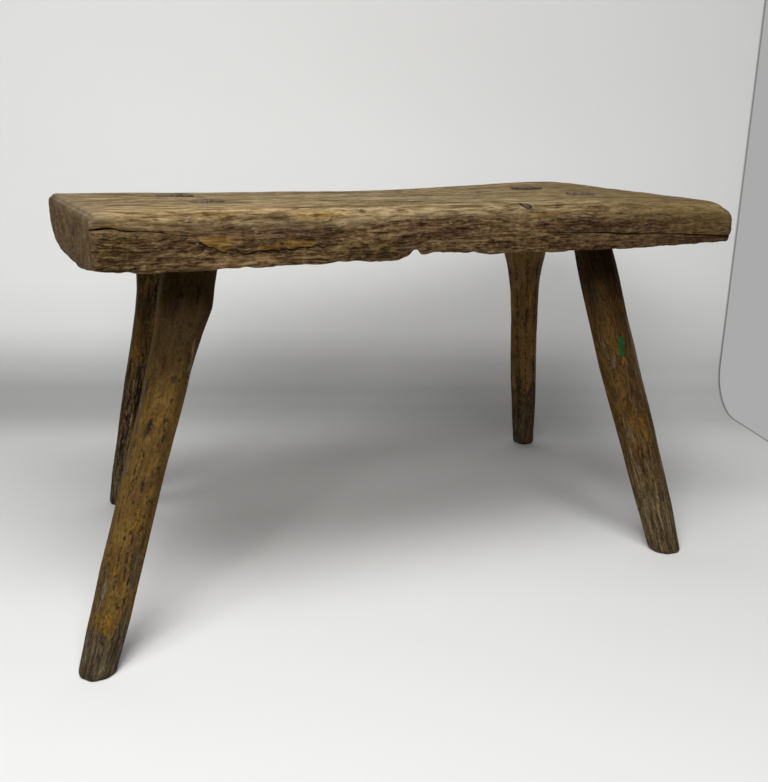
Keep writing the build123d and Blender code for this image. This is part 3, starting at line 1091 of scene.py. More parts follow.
def seat_finish():
    """Bare weathered wood: grey tan on top, brown and fibrous in front, cracks and ochre remains"""
    material, place = new_finish("weathered_seat_wood")
    tree = material.node_tree
    along, across, level = seat_places(place)
    sway = stretched_noise(place, 13, 30, 1)
    swayed = vector_sum(tree, "ADD", place, scaled(tree, (0.0, 0.5, 1.0), sway * 0.012))
    right = kept_mark(tree, "right")
    front = kept_mark(tree, "front")
    calm = 1 - right * 0.4
    clouds = stretched_noise(place, 14, 40, 3)
    speckle = stretched_noise(swayed, 260, 640, 2)
    tone = top_tone(swayed, calm)
    torn_tone = front_tone(swayed, calm)
    top_colour = ramp(
        tone,
        quarters,
        (0.05, 0.03, 0.013), (0.128, 0.086, 0.039), (0.224, 0.158, 0.076), (0.335, 0.247, 0.127),
        (0.48, 0.375, 0.215),
    )
    smooth_end = ramp(tone, inner, (0.08, 0.052, 0.02), (0.172, 0.118, 0.048), (0.28, 0.2, 0.088))
    top_colour = blend_colours(right, top_colour, smooth_end)
    front_colour = ramp(
        torn_tone,
        quarters,
        (0.021, 0.0105, 0.0055), (0.059, 0.032, 0.014), (0.12, 0.072, 0.031), (0.196, 0.122, 0.056),
        (0.31, 0.2, 0.1),
    )
    plum = (kept_mark(tree, "plum") + clouds * 1.2).step(0.3, 0.7)
    plum_colour = ramp(torn_tone, inner, (0.028, 0.013, 0.007), (0.09, 0.048, 0.024), (0.185, 0.11, 0.056))
    olive = (kept_mark(tree, "olive") + clouds).step(0.3, 0.7)
    olive_colour = ramp(torn_tone, inner, (0.033, 0.021, 0.006), (0.128, 0.083, 0.027), (0.24, 0.168, 0.06))
    front_colour = laid_over(front_colour, (plum * 0.8, plum_colour), (olive * 0.6, olive_colour))
    # The pale band on the rounded front rim is a painted highlight where the rim faces the light
    edge_highlight = kept_mark(tree, "pale") * (clouds * 2 + 0.7).step(0.2, 0.8)
    edge_highlight_colour = ramp(tone, halves, (0.12, 0.074, 0.03), (0.3, 0.206, 0.096), (0.5, 0.37, 0.19))
    rings = (kept_mark(tree, "ring") - 0.5) * 0.25
    end_tone = rings + stretched_noise(place, 160, 260, 4) * 1.6 + clouds + 0.5
    end_colour = ramp(end_tone, inner, (0.07, 0.042, 0.02), (0.165, 0.105, 0.051), (0.27, 0.185, 0.1))
    rags = stretched_noise(swayed, 150, 480, 4, 0.7) * 0.9 + speckle * 0.6
    paint = (kept_mark(tree, "ochre") + rags).step(0.46, 0.54)
    paint_colour = ramp(torn_tone, inner, (0.11, 0.056, 0.012), (0.215, 0.12, 0.028), (0.32, 0.19, 0.058))
    checks = (stretched_noise(swayed, 55, 600, 2) + 0.5).step(0.6, 0.66)
    dashes = (stretched_noise(swayed, 85, 210, 2) + 0.5).step(0.61, 0.67)
    dashes = dashes * (1 - front) + (speckle + 0.5).step(0.64, 0.7) * front
    glints = (stretched_noise(swayed, 130, 320, 2) + 0.5).step(0.62, 0.7)
    rim_tone = clouds * 1.5 + stretched_noise(place, 120, 160, 3) + 0.5
    rim_colour = ramp(rim_tone, inner, (0.1, 0.074, 0.042), (0.2, 0.155, 0.095), (0.31, 0.245, 0.155))
    on_front = 1 - across.step(-0.153, -0.148)
    swirls = stretched_noise(place, 75, 260, 2, 0.6, 1.6)
    curls = 1 - swirls.sum("ABSOLUTE", swirls).step(0.012, 0.035)
    crackled = on_front * (1 - along.step(-0.29, -0.26)) * (1 - level.step(-0.0175, -0.0145))
    wobble = sway * 0.002 + speckle * 0.0008
    cut = drawn_cuts(top_cuts, along, across, wobble) * (1 - on_front)
    cut = cut.most(drawn_cuts(front_cuts, along, level, wobble) * on_front)
    knot_along = (along - knot_place[0]) / knot_half_sizes[0]
    knot_level = (level + across * 0.103 - knot_place[1]) / knot_half_sizes[1]
    knot = (knot_along * knot_along + knot_level * knot_level) ** 0.5 + speckle * 0.5
    near_front = 1 - across.step(-0.135, -0.125)
    eye = (1 - knot.step(0.9, 1.15)) * near_front
    colour = laid_over(
        blend_colours(front, top_colour, front_colour),
        (edge_highlight, edge_highlight_colour),
        (kept_mark(tree, "end"), end_colour),
        (paint * 0.92, paint_colour),
        (kept_mark(tree, "stain") * 0.8, (0.05, 0.038, 0.025)),
        (glints * (0.45 - front * 0.15) * calm, (0.42, 0.32, 0.19)),
        (checks * 0.7 * calm, (0.022, 0.012, 0.006)),
        (dashes * 0.6 * calm, (0.03, 0.018, 0.009)),
        (kept_mark(tree, "rim"), rim_colour),
        (curls * crackled * 0.85, (0.014, 0.009, 0.005)),
        (eye * 0.8, (0.085, 0.055, 0.032)),
        (eye * knot.step(0.5, 0.8) * (clouds * 3 + 0.9).step(0.3, 0.7), (0.016, 0.01, 0.006)),
        (cut * 0.9, (0.014, 0.008, 0.005)),
        # Painted shade, near black, deep in the cracks
        (kept_mark(tree, "crack").step(0.35, 0.75), (0.008, 0.004, 0.002)),
    )
    rough_height = torn_tone * (front * 0.5 + 0.2) + tone * 0.3
    rough_height = rough_height - checks * 0.4 - dashes * 0.3 - cut * 0.6 - eye * 0.3
    put_on(colour, 0.88 - tone * 0.06, rough_height, 0.0015, 0.8)
    return material


# Each leg's tint: of its paint, of dirty paint, of bare wood and of the dirt and painted shade at its head
leg_tints = by_leg(
    ((1.2, 1.2, 1.2), (1.2, 1.2, 1.2), (1.05, 1.0, 0.95), (0.046, 0.027, 0.011)),
    ((1.0, 0.92, 0.78), (0.93, 0.85, 0.74), (1.48, 1.34, 1.14), (0.017, 0.0086, 0.0038)),
    ((0.95, 0.87, 0.7), (0.95, 0.87, 0.7), (0.88, 0.8, 0.66), (0.06, 0.04, 0.018)),
    # The back right leg's tints are raised well over the others: painted light against the shade it stands
    # in
    ((2.4, 2.5, 2.6), (3.2, 3.1, 3.0), (1.2, 1.05, 0.97), (0.095, 0.066, 0.033)),
)
# How much of each leg's paint has gone brown with dirt
leg_grime = by_leg(0.1, 0.5, 0.5, 0.8)
# Contrast of each leg's bare wood and of its paint, and how strongly it is flecked
leg_contrasts = by_leg((1.1, 0.85, 1.0), (1.1, 1.0, 1.0), (2.2, 1.3, 0.8), (0.9, 0.6, 0.35))

# Marks on each leg's seen side: from and to over the floor, the place right of its axis at both, and a half
# width. The scars are dark, then come bare wood, tan wood lightened as a painted highlight where the right
# arrises catch the light, and ochre that kept bright.
leg_scars = by_leg(
    (
        (0.165, 0.184, -0.0038, -0.0006, 0.0036), (0.1955, 0.1995, -0.003, 0.0035, 0.0009),
        (0.1488, 0.1625, -0.0048, -0.0032, 0.0007), (0.1385, 0.1505, -0.0058, -0.0047, 0.0008),
        (0.1195, 0.1395, -0.0062, -0.0054, 0.0007), (0.127, 0.1415, 0.004, 0.0043, 0.0018),
        (0.1425, 0.1467, 0.0123, 0.0123, 0.0014), (0.2132, 0.2162, -0.0015, -0.0015, 0.001),
        (0.207, 0.21, 0.013, 0.013, 0.001), (0.2062, 0.2146, 0.0087, 0.0087, 0.0023),
        (0.2525, 0.2595, -0.012, -0.006, 0.0025), (0.2515, 0.256, -0.003, 0.008, 0.003),
        (0.262, 0.289, 0.0151, 0.01, 0.0008), (0.069, 0.089, 0.0058, 0.0033, 0.0011),
    ),
    (
        (0.152, 0.172, 0.0005, 0.0035, 0.0014), (0.094, 0.112, -0.004, -0.0015, 0.0012),
        (0.052, 0.06, -0.0105, -0.0105, 0.0009),
    ),
    ((0.214, 0.223, -0.003, -0.002, 0.0018), (0.15, 0.19, 0.001, 0.0, 0.0012)),
    ((0.004, 0.15, -0.0095, -0.0085, 0.0026), (0.186, 0.1878, -0.006, 0.002, 0.003)),
)
leg_bare_marks = by_leg(
    (
        (0.043, 0.07, -0.01, -0.0065, 0.003), (0.045, 0.1, 0.0122, 0.0128, 0.0016),
        (0.015, 0.055, 0.0128, 0.0118, 0.0022), (0.163, 0.218, -0.0122, -0.0145, 0.0026),
        (0.13, 0.17, -0.012, -0.0125, 0.0012), (0.19, 0.27, 0.0192, 0.0178, 0.001),
    ),
    (
        (0.12, 0.262, 0.0192, 0.0178, 0.0024), (0.182, 0.197, -0.0102, -0.0095, 0.0024),
        (0.108, 0.132, -0.0082, -0.0098, 0.0028),
    ),
    ((0.07, 0.2, -0.0065, -0.005, 0.0016),),
    ((0.225, 0.262, -0.008, -0.006, 0.0015),),
)
# Tan wood on the right arrises: bare wood lightened as a painted highlight
leg_tan_highlight_marks = by_leg(
    ((0.2, 0.245, 0.0185, 0.0175, 0.0012),),
    ((0.13, 0.255, 0.0182, 0.016, 0.0028), (0.06, 0.13, 0.0165, 0.0182, 0.0016)),
    ((0.1, 0.12, -0.002, -0.002, 0.001),),
    ((0.1, 0.12, 0.006, 0.006, 0.0006),),
)
leg_bright_marks = by_leg(
    (
        (0.0705, 0.0795, -0.002, -0.002, 0.0024), (0.0285, 0.0505, 0.0005, 0.0015, 0.0034),
        (0.0222, 0.0278, -0.0058, -0.0058, 0.0012), (0.172, 0.19, 0.004, 0.006, 0.0025),
        (0.1, 0.118, 0.006, 0.005, 0.0035),
    ),
    (
        (0.11, 0.14, 0.0065, 0.0042, 0.0036), (0.195, 0.213, -0.003, -0.0035, 0.0034),
        (0.183, 0.2, 0.0005, 0.0005, 0.0028),
    ),
    ((0.235, 0.275, -0.0095, -0.0075, 0.0025),),
    ((0.21, 0.235, 0.004, 0.005, 0.002),),
)


def leg_places(place, shape):
    """Sockets for the height over the floor, the place right of the axis, and the seen side"""
    height = add_node(place.tree, "ShaderNodeSeparateXYZ", {}, {"Vector": place}, "Z")
    places = []
    for way in (facet_right, facet_away):
        far = dot_product(place, tuple(way)) - float(shape.foot @ way)
        places.append(far - height * float(shape.axis @ way / shape.axis[2]))
    right, behind = places
    return height, right, 1 - behind.step(0.003, 0.009)


def tinted(tint, *colours):
    """Colours multiplied by a tint"""
    return [tuple(part * share for part, share in zip(colour, tint)) for colour in colours]


def leg_finish(name, shape):
    """Worn ochre paint on a hewn stick, bare at the foot and the arrises, dark with dirt and painted shade
    at the head
    """
    material, place = new_finish(f"worn_ochre_{name}")
    tree = material.node_tree

    def grained(lengthwise, crosswise, **values):
        return noise(along_grain(place, tuple(shape.axis), lengthwise, crosswise), **values)

    fibres = grained(75, 950, detail=4, roughness=0.66, distortion=0.2) - 0.5
    streaks = grained(20, 300, detail=3, roughness=0.6) - 0.5
    blotches = grained(26, 75, detail=4, roughness=0.62, distortion=0.8) - 0.5
    chips = grained(110, 230, detail=4, roughness=0.7, distortion=0.6) - 0.5
    speckle = grained(300, 520, detail=3, roughness=0.7) - 0.5
    spots = grained(150, 240, detail=2).step(0.67, 0.72)
    specks = grained(330, 480, detail=1).step(0.7, 0.76)
    rise, right, seen = leg_places(place, shape)
    ragged = chips * 0.004 + speckle * 0.003
    bare, tan, bright, scars = (
        drawn_cuts(marks[name], rise, right, ragged) * seen
        for marks in (leg_bare_marks, leg_tan_highlight_marks, leg_bright_marks, leg_scars)
    )
    wood_contrast, paint_contrast, flecked = leg_contrasts[name]
    paint_tint, dirt_tint, wood_tint, head_dirt_and_shade_colour = leg_tints[name]

    wood_tone = fibres * 1.7 + streaks + kept_mark(tree, "ridge") * 0.6 + speckle * 0.8 + chips * 0.4
    wood_tone = wood_tone * wood_contrast + 0.5
    wood_places = (0.0, 0.35, 0.7, 1.0)
    browns = ((0.01, 0.006, 0.003), (0.032, 0.02, 0.0095), (0.075, 0.05, 0.025), (0.14, 0.1, 0.054))
    greys = ((0.012, 0.009, 0.005), (0.038, 0.028, 0.016), (0.085, 0.067, 0.04), (0.17, 0.138, 0.09))
    wood = blend_colours(
        kept_mark(tree, "foot"),
        ramp(wood_tone, wood_places, *tinted(wood_tint, *browns)),
        ramp(wood_tone, wood_places, *tinted(wood_tint, *greys)),
    )
    bare_colour = ramp(wood_tone, inner, (0.03, 0.02, 0.011), (0.085, 0.062, 0.036), (0.19, 0.145, 0.088))
    wood = blend_colours(bare * 0.8, wood, bare_colour)

    paint_tone = blotches * 1.3 + fibres * 0.9 + chips * 0.9 + speckle * 1.3
    paint_tone = paint_tone * paint_contrast + 0.5
    ochres = ((0.028, 0.0145, 0.005), (0.079, 0.044, 0.0115), (0.156, 0.091, 0.021))
    dirty_ochres = ((0.013, 0.007, 0.003), (0.042, 0.024, 0.008), (0.095, 0.058, 0.02))
    bright_ochres = ((0.1, 0.05, 0.008), (0.17, 0.088, 0.013), (0.24, 0.135, 0.02))
    paint = blend_colours(
        (leg_grime[name] - blotches * 1.3 + streaks + chips * 0.6).step(0.25, 0.75),
        ramp(paint_tone, halves, *tinted(paint_tint, *ochres)),
        ramp(paint_tone, halves, *tinted(dirt_tint, *dirty_ochres)),
    )
    left_on = kept_mark(tree, "paint") + chips * 1.2 + blotches * 1.1 + speckle * 0.9
    left_on = (left_on - kept_mark(tree, "worn") * 0.3).step(0.44, 0.54) * (1 - bare * 0.85)

    bright_colour = ramp(paint_tone, inner, *tinted(paint_tint, *bright_ochres))
    head_shades = [(shade, shade, shade) for shade in (0.55, 1.0, 1.6)]
    tan_highlight_colour = ramp(wood_tone, inner, (0.07, 0.047, 0.025), (0.2, 0.14, 0.078), (0.34, 0.25, 0.15))
    scar_shades = ((0.012, 0.007, 0.004), (0.026, 0.018, 0.011), (0.06, 0.047, 0.032))
    scar_colour = ramp(speckle * 3 + chips * 2 + 0.5, (0.3, 0.55, 0.9), *scar_shades)
    fleck_colour = (0.02, 0.013, 0.007)
    end_tone = fibres * 1.4 + chips + 0.5
    end_colour = ramp(end_tone, halves, (0.03, 0.021, 0.013), (0.12, 0.09, 0.056), (0.25, 0.195, 0.13))
    colour = laid_over(
        blend_colours(left_on, wood, paint),
        (bright * (speckle * 2 + 0.7).step(0.2, 0.9) * 0.7, bright_colour),
        # The head darkens with dirt and painted shade where the seat's shadow falls on it
        (kept_mark(tree, "head"), ramp(paint_tone, inner, *tinted(head_dirt_and_shade_colour, *head_shades))),
        # Tan marks: bare wood with a painted highlight on the arrises
        (tan * 0.75, tan_highlight_colour),
        (scars * (chips * 3 + 0.8).step(0.1, 0.6) * 0.85, scar_colour),
        (spots * 0.75 * flecked, fleck_colour),
        (specks * 0.6 * flecked, fleck_colour),
        (kept_mark(tree, "end"), end_colour),
    )
    height = left_on * 0.5 + wood_tone * 0.35 * (1.2 - left_on) + paint_tone * 0.15
    height = height - spots * 0.5 - specks * 0.3 - scars * 0.3
    put_on(colour, 0.8 - left_on * 0.14, height, 0.0011, 0.75)
    return material


def wedge_finish():
    """End grain of a darkened wedge, lined across by saw marks"""
    material, place = new_finish("darkened_wedge_wood")
    lines = noise(along_grain(place, (0.0, 1.0, 0.0), 90, 900), detail=3, roughness=0.6)
    tone = lines.step(0.3, 0.7)
    colour = ramp(tone, (0.0, 0.6, 1.0), (0.04, 0.029, 0.018), (0.12, 0.092, 0.06), (0.2, 0.16, 0.11))
    put_on(colour, 0.86 - tone * 0.06, lines, 0.0006)
    return material


def tag_finish():
    """Plain green paper, a little rubbed"""
    material, place = new_finish("green_tag_paper")
    mottle = noise(place, detail=3, roughness=0.6, scale=420)
    rubbed = noise(place, detail=2, scale=900).step(0.6, 0.75)
    colour = ramp(mottle, (0.3, 0.7), (0.011, 0.05, 0.013), (0.02, 0.085, 0.022))
    colour = blend_colours(rubbed * 0.3, colour, (0.035, 0.06, 0.03))
    put_on(colour, 0.62 - rubbed * 0.1, mottle, 0.0001)
    return material


# Marks that the finishes read
def mark_seat(slab, shapes):
    """Where the seat's front, its pale band of painted highlight, cracks, ochre remains, ends and stains
    lie
    """
    points = points_of(slab.data)
    along, across, height = frame_to_seat(points)
    share = along / seat_length
    depth = top_height(along, across) - height
    facing_up = points_of(slab.data, "normal") @ seat_up
    early = eased(share, -0.2, -0.08) * eased(-share, -0.3, -0.05)
    front = eased(depth + 0.005 * early, 0.003, 0.02)
    mark(slab, "front", front)
    mark(slab, "right", eased(share, 0.12, 0.42) * (0.55 + 0.45 * eased(-across, -0.1, 0.12)))
    near_edge = eased(-across, 0.085, 0.14)
    # The pale band: a painted highlight along the front rim, strongest toward the left end
    left_highlight = 0.12 + 0.88 * eased(-share, 0.08, 0.28)
    mark(slab, "pale", near_edge * (1 - eased(depth, 0.003, 0.011)) * left_highlight)
    on_front = eased(-across, 0.14, 0.15)
    # The cracks' mark, where the finish paints shade into them
    crack = np.zeros(len(points))
    for rows in cracks:
        line, half_width, full = crack_line(rows, along)
        nearness = 1 - np.abs(height - line) / (half_width + 0.0004)
        crack = np.maximum(crack, nearness * np.clip(full / 0.0008, 0, 1))
    mark(slab, "crack", np.clip(crack, 0, 1) * on_front)
    ochre = np.zeros(len(points))
    for rows in ochre_patches:
        inside = np.minimum(height - from_table(rows, along, 1), from_table(rows, along, 2) - height)
        inside = np.minimum(inside, np.minimum(along - rows[0][0], rows[-1][0] - along))
        ochre = np.maximum(ochre, 0.5 + inside / 0.004)
    mark(slab, "ochre", np.clip(ochre, 0, 1) * on_front)
    for name, patches in (("plum", plum_patches), ("olive", olive_patches)):
        field = np.zeros(len(points))
        for middle, level, half_length, half_height in patches:
            reach = np.hypot((along - middle) / half_length, (height - level) / half_height)
            field = np.maximum(field, 1 - reach * 0.5)
        mark(slab, name, np.clip(field, 0, 1) * on_front)
    from_left = along + seat_length / 2 - left_end_skew * (across / seat_width + 0.5)
    mark(slab, "end", 1 - eased(from_left, 0.001, 0.005))
    mark(slab, "rim", (1 - eased(from_left, 0.004, 0.02)) * (1 - eased(depth, 0.003, 0.012)) * 0.6)
    mark(slab, "ring", 0.5 + 0.5 * end_rings(across, height, ring_spacing))
    stain = np.zeros(len(points))
    for shape in shapes.values():
        away = np.linalg.norm(shape.from_axis(points), axis=1)
        stain = np.maximum(stain, 0.5 - 0.5 * eased(away, shape.tenon_radius, shape.tenon_radius + 0.003))
    mark(slab, "stain", np.clip(stain, 0, 1) * eased(facing_up, 0.1, 0.3))
    mark(slab, "torn", 0.45 + 0.55 * front)


# How much paint is left up each leg: height over the floor in shares of the seat's, and a share
paint_left_shares = by_leg(
    ((0.0, 0.0), (0.05, 0.05), (0.11, 0.75), (0.2, 0.7), (0.3, 0.8), (0.5, 0.85), (0.85, 0.8)),
    ((0.0, 0.0), (0.2, 0.15), (0.3, 0.45), (0.4, 0.6), (0.55, 0.5), (0.7, 0.7), (0.85, 0.85)),
    ((0.0, 0.05), (0.2, 0.15), (0.4, 0.35), (0.55, 0.75), (0.85, 0.85)),
    ((0.0, 0.05), (0.18, 0.3), (0.35, 0.7), (0.85, 0.75)),
)
# How far the head's dirt and painted shade are kept off the side that turns left, toward the light
left_facet_lit = by_leg(0.6, 0.1, 0.0, 0.0)
# Dirt and painted shade under the seat, where its shadow falls: the shares of its height from and to which
# it grows, and its depth
leg_head_dirt_and_shade = by_leg((0.55, 0.68, 0.85), (0.6, 0.8, 0.75), (0.7, 0.9, 0.3), (0.7, 0.9, 0.2))


def mark_leg(stick, name, shape):
    """Where the paint, the head dark with dirt and painted shade, the worn arrises and the end grain of a
    leg lie
    """
    points = points_of(stick.data)
    rise = points[:, 2] / seat_height
    mark(stick, "paint", from_table(paint_left_shares[name], rise))
    # The head's mark is dirt and painted shade under the seat, kept off the left side that takes the light
    dark_from, dark_to, darkest = leg_head_dirt_and_shade[name]
    facing_left = -points_of(stick.data, "normal") @ facet_right
    kept_lit = eased(facing_left, 0.35, 0.75) * left_facet_lit[name]
    mark(stick, "head", eased(rise, dark_from, dark_to) * darkest * (1 - kept_lit))
    mark(stick, "foot", 1 - eased(rise, 0.12, 0.3))
    levels = points @ seat_up
    tenon_end = eased(levels, shape.shown_level - 0.0022, shape.shown_level - 0.0012)
    sole = 1 - eased(points[:, 2], 0.0002, 0.0008)
    mark(stick, "end", np.maximum(tenon_end, sole))
    radial = shape.from_axis(points)
    angle = (np.arctan2(radial[:, 1], radial[:, 0]) - facet_turn) / facet_angle
    from_arris = np.abs(angle - np.round(angle))
    mark(stick, "worn", 1 - eased(from_arris, 0.02, 0.2))
    mark(stick, "torn", 0.35 + 0.65 * (1 - eased(rise, 0.08, 0.2)))


def make_wedge(name, shape):
    """The frame's own wedge, merged, raised with its tenon's end, with its arrises taken off"""
    work = bmesh.new()
    work.from_mesh(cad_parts[f"wedge_{name}"].data)
    bmesh.ops.remove_doubles(work, verts=work.verts, dist=0.00001)
    bmesh.ops.dissolve_limit(work, angle_limit=math.radians(3), verts=work.verts, edges=work.edges)
    lift = Vector(shape.axis) * (shape.shown_level - shape.end_level + shape.dome * 0.4)
    up = Vector(seat_up)
    for point in work.verts:
        if point.co.dot(up) > shape.end_level - 0.001:
            point.co += lift
    mesh = bpy.data.meshes.new(f"driven_wedge_{name}")
    work.to_mesh(mesh)
    work.free()
    piece = add_to_scene(f"driven_wedge_{name}", mesh)
    bevel = piece.modifiers.new("Worn arrises", "BEVEL")
    bevel.width = 0.0003
    bevel.segments = 2
    bevel.limit_method = "ANGLE"
    fix_mesh(piece)
    return piece


def make_tag(stick, shape):
    """A thin strip laid on the leg's own surface, its corners rounded"""
    points = cad_points("green_tag")
    middle = (points.min(0) + points.max(0)) / 2
    to_axis = shape.tenon_middle - middle
    inward = unit(to_axis - shape.axis * (to_axis @ shape.axis))
    low = points[points[:, 2] < middle[2]].mean(0)
    high = points[points[:, 2] > middle[2]].mean(0)
    up = unit(high - low)
    side = unit(np.cross(up, inward))
    half_height = 0.01
    half_width = 0.0031
    corner = 0.001
    slant = 0.0014
    ray_start = 0.02
    surface = BVHTree.FromObject(stick, bpy.context.evaluated_depsgraph_get())
    rows, columns = 25, 9
    layers = []
    for lift in (0.00005, 0.00045):
        layer = []
        for up_share in np.linspace(-1, 1, rows):
            near_end = max(0.0, abs(up_share) * half_height - (half_height - corner))
            drawn_in = corner - math.sqrt(max(corner**2 - near_end**2, 0))
            for side_share in np.linspace(-1, 1, columns):
                aslant = slant * (1 - up_share)
                place = middle + up * up_share * half_height
                place = place + side * (side_share * (half_width - drawn_in) + aslant)
                hit = surface.ray_cast(Vector(place - inward * ray_start), Vector(inward))[0]
                layer.append(np.array(hit) - inward * lift)
        layers.append(np.array(layer))
    numbers = np.arange(2 * rows * columns).reshape(2, rows, columns)
    faces = quads(numbers[0]) + quads(numbers[1])
    edges = [numbers[:, 0, :], numbers[:, 1:, -1], numbers[:, -1, -2::-1], numbers[:, -2:0:-1, 0]]
    faces += quads(np.concatenate(edges, axis=1), wrap=True)
    return make_piece("green_tag_strip", np.concatenate(layers), faces)


def rest_on_floor(stick):
    """Brings the points that the relief pushed through the floor back up to it"""
    points = points_of(stick.data)
    points[:, 2] = np.maximum(points[:, 2], 0)
    stick.data.vertices.foreach_set("co", points.ravel())


# Building the stool
relief = relief_tree()
shapes = {name: LegShape(name) for name in leg_names}
slab = make_seat()
cut_away(slab, [mortise_cutter(name, shape) for name, shape in shapes.items()])
mark_seat(slab, shapes)
weather(
    slab,
    relief,
    grain=tuple(seat_along),
    ridge_length=0.03,
    ridge_width=0.0045,
    ridge_depth=0.0008,
    hollow_width=0.03,
    hollow_depth=0.0008,
    material=seat_finish(),
)
shade_softly(slab, 50)
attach(slab, "root")
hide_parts("seat")

sticks = {}
for number, (name, shape) in enumerate(shapes.items()):
    stick = make_leg(name, shape, 40 * number + 20)
    cut_away(stick, [kerf_cutter(name, shape)])
    mark_leg(stick, name, shape)
    weather(
        stick,
        relief,
        grain=tuple(shape.axis),
        ridge_length=0.03,
        ridge_width=0.003,
        ridge_depth=0.0006,
        hollow_width=0.02,
        hollow_depth=0.0006,
        material=leg_finish(name, shape),
    )
    rest_on_floor(stick)
    shade_softly(stick, 50)
    sticks[name] = stick

wedge_wood = wedge_finish()
tag = make_tag(sticks["front_right"], shapes["front_right"])
tag.data.materials.append(tag_finish())
shade_softly(tag, 40)

for name in leg_names:
    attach(sticks[name], "root")
    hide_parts(f"leg_{name}")
    wedge = make_wedge(name, shapes[name])
    wedge.data.materials.clear()
    wedge.data.materials.append(wedge_wood)
    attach(wedge, "root")
    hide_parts(f"wedge_{name}")
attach(tag, "root")
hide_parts("green_tag")


# Paper sweep: a pale floor that bends up into a wall behind the stool. First how it is turned, where its
# wall stands and how far it reaches to each side, then how pale it is at distances from its bend, along the
# floor (under 0) and up the wall: a painted shadow of the stool about the bend, and painted light toward
# the front.
paper_turn = math.radians(-22)
paper_middle = np.array([0.193, 0.43, 0.0])
paper_aside = np.array([math.cos(paper_turn), math.sin(paper_turn), 0])
paper_away = np.array([-math.sin(paper_turn), math.cos(paper_turn), 0])
paper_sides = (-0.9, 0.577)
paper_painted_shadows = (
    (-0.85, 0.84), (-0.65, 0.8), (-0.55, 0.74), (-0.45, 0.65), (-0.3, 0.62), (-0.18, 0.56),
    (-0.1, 0.45), (-0.03, 0.36), (0.02, 0.37), (0.05, 0.49), (0.085, 0.68), (0.125, 0.84),
    (0.2, 0.9), (0.32, 0.87), (0.45, 0.82), (0.65, 0.74),
)
# The same near its right edge, where the painted shadow of the seat is fainter
paper_edge_painted_shadows = (
    (-0.85, 0.84), (-0.65, 0.82), (-0.45, 0.8), (-0.3, 0.76), (-0.18, 0.69), (-0.1, 0.6),
    (-0.03, 0.5), (0.02, 0.52), (0.05, 0.65), (0.085, 0.78), (0.125, 0.86), (0.2, 0.9),
    (0.32, 0.87), (0.45, 0.82), (0.65, 0.74),
)
paper_reach = paper_painted_shadows[-1][0] - paper_painted_shadows[0][0]


def paper_finish():
    """Matt pale paper with painted light and shadow, clear from behind so that it never stands in front of
    the stool
    """
    material, place = new_finish("pale_paper")
    tree = material.node_tree
    along_sheet = dot_product(place, tuple(paper_away + np.array([0, 0, 1])))
    from_bend = along_sheet - float(paper_middle @ paper_away)
    aside = dot_product(place, tuple(paper_aside)) - float(paper_middle @ paper_aside)
    from_edge = paper_sides[1] - aside
    clouds = (noise(place, detail=2, scale=3.0) - 0.5) * 0.01
    # Painted light and shadow by distance from the bend
    sheets = []
    for shades in (paper_painted_shadows, paper_edge_painted_shadows):
        nearest = shades[0][0]
        places = [(far - nearest) / paper_reach for far, _ in shades]
        colours = [(shade, shade, shade * 0.985) for _, shade in shades]
        sheets.append(ramp((from_bend - nearest) / paper_reach + clouds, places, *colours))
    colour = blend_colours(from_edge.step(0.08, 0.3), sheets[1], sheets[0])
    # A painted shadow line along the paper's right edge
    rim = (1 - from_edge.step(0.0015, 0.0045)) * 0.75
    colour = blend_colours(rim, colour, (0.12, 0.12, 0.12))
    inputs = {"Base Color": colour, "Roughness": 0.9, "Specular IOR Level": 0.1}
    matt = add_node(tree, "ShaderNodeBsdfPrincipled", {}, inputs)
    clear = add_node(tree, "ShaderNodeBsdfTransparent")
    behind = add_node(tree, "ShaderNodeNewGeometry", output="Backfacing")
    surface = add_node(tree, "ShaderNodeMixShader", {}, {0: behind, 1: matt, 2: clear})
    add_node(tree, "ShaderNodeOutputMaterial", {}, {"Surface": surface})
    return material


def make_paper():
    """Floor, bend and wall in one sheet from a roll, whose right edge the photograph shows"""
    bend_radius = 0.07
    floor_reach = 1.5
    wall_height = 1.1
    profile = [(-floor_reach, 0.0), (-1.0, 0.0), (-bend_radius, 0.0)]
    for turn in np.radians(np.arange(9, 91, 9)):
        far = -bend_radius + bend_radius * math.sin(turn)
        profile.append((far, bend_radius * (1 - math.cos(turn))))
    profile.append((0.0, wall_height))
    points = []
    for side in paper_sides:
        for far, up in profile:
            points.append(paper_middle + paper_aside * side + paper_away * far + np.array([0, 0, up]))
    count = len(profile)
    faces = quads(np.arange(2 * count).reshape(2, count))
    mesh = bpy.data.meshes.new("paper_sweep")
    mesh.from_pydata([tuple(point) for point in points], [], faces)
    mesh.materials.append(paper_finish())
    paper = add_to_scene("paper_sweep", mesh)
    mesh.update()
    if mesh.polygons[0].normal.z < 0:
        mesh.flip_normals()
    mesh.shade_smooth()
    return paper


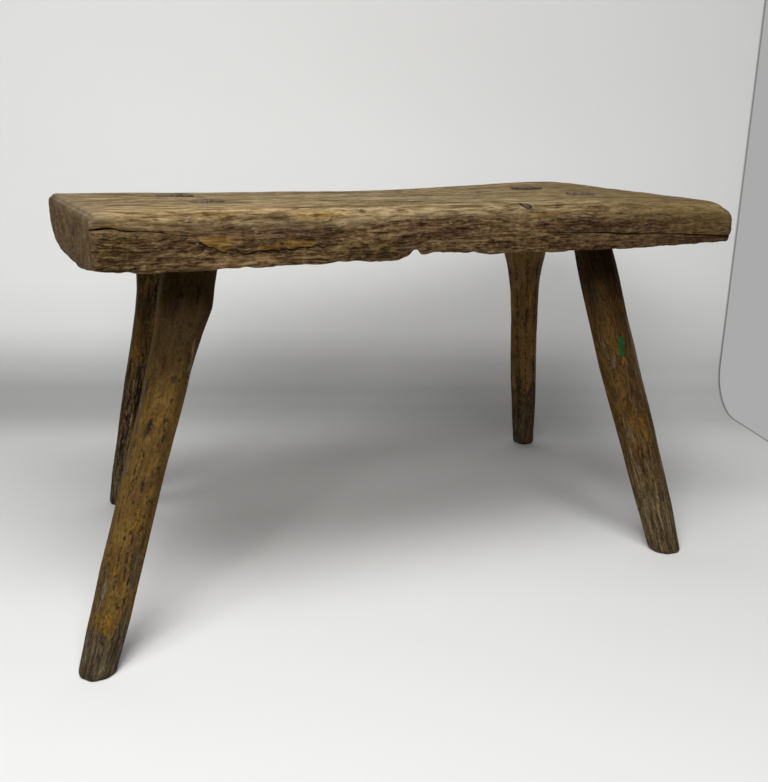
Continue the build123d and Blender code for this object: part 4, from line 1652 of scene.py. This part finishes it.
make_paper()


# Light
lit_place = (0.0, 0.05, 0.15)


def add_softbox(name, place, width, height, power):
    """An area light that looks at the stool"""
    data = bpy.data.lights.new(name, "AREA")
    data.shape = "RECTANGLE"
    data.size = width
    data.size_y = height
    data.energy = power
    lamp = add_to_scene(name, data)
    lamp.location = place
    lamp.rotation_euler = (Vector(lit_place) - Vector(place)).to_track_quat("-Z", "Y").to_euler()


add_softbox("window_light", (-0.43, -0.6, 1.88), width=1.6, height=0.5, power=27)
add_softbox("room_light", (-1.03, -1.33, 1.15), width=0.9, height=0.6, power=17)

world = bpy.data.worlds.new("pale_room")
world.use_nodes = True
world.node_tree.nodes.clear()
tree = world.node_tree
ray = add_node(tree, "ShaderNodeLightPath", output="Is Camera Ray")
for kind in ("Is Glossy Ray", "Is Transmission Ray"):
    ray = ray.most(add_node(tree, "ShaderNodeLightPath", output=kind))
room = add_node(tree, "ShaderNodeBackground", {}, {"Color": (1, 1, 1), "Strength": 0.03})
seen = add_node(tree, "ShaderNodeBackground", {}, {"Color": (0.4, 0.4, 0.405), "Strength": 1.0})
sky = add_node(tree, "ShaderNodeMixShader", {}, {0: ray, 1: room, 2: seen})
add_node(tree, "ShaderNodeOutputWorld", {}, {"Surface": sky})
bpy.context.scene.world = world

# Camera at the photograph's viewing angle
photo_long_side = 782
focal_pixels = 880
camera_place = (-0.38961, -0.80596, 0.38859)
camera_turn = -26.26
camera_tilt = 14.904
camera_roll = 1.408
camera_data = bpy.data.cameras.new("photo_view")
camera_data.sensor_width = 36
camera_data.lens = focal_pixels * camera_data.sensor_width / photo_long_side
camera = add_to_scene("photo_view", camera_data)
turned = Matrix.Rotation(math.radians(camera_turn), 4, "Z")
tilted = Matrix.Rotation(math.radians(90 - camera_tilt), 4, "X")
rolled = Matrix.Rotation(math.radians(camera_roll), 4, "Z")
camera.matrix_world = Matrix.Translation(camera_place) @ turned @ tilted @ rolled
bpy.context.scene.camera = camera

bpy.context.scene.view_settings.view_transform = "Standard"
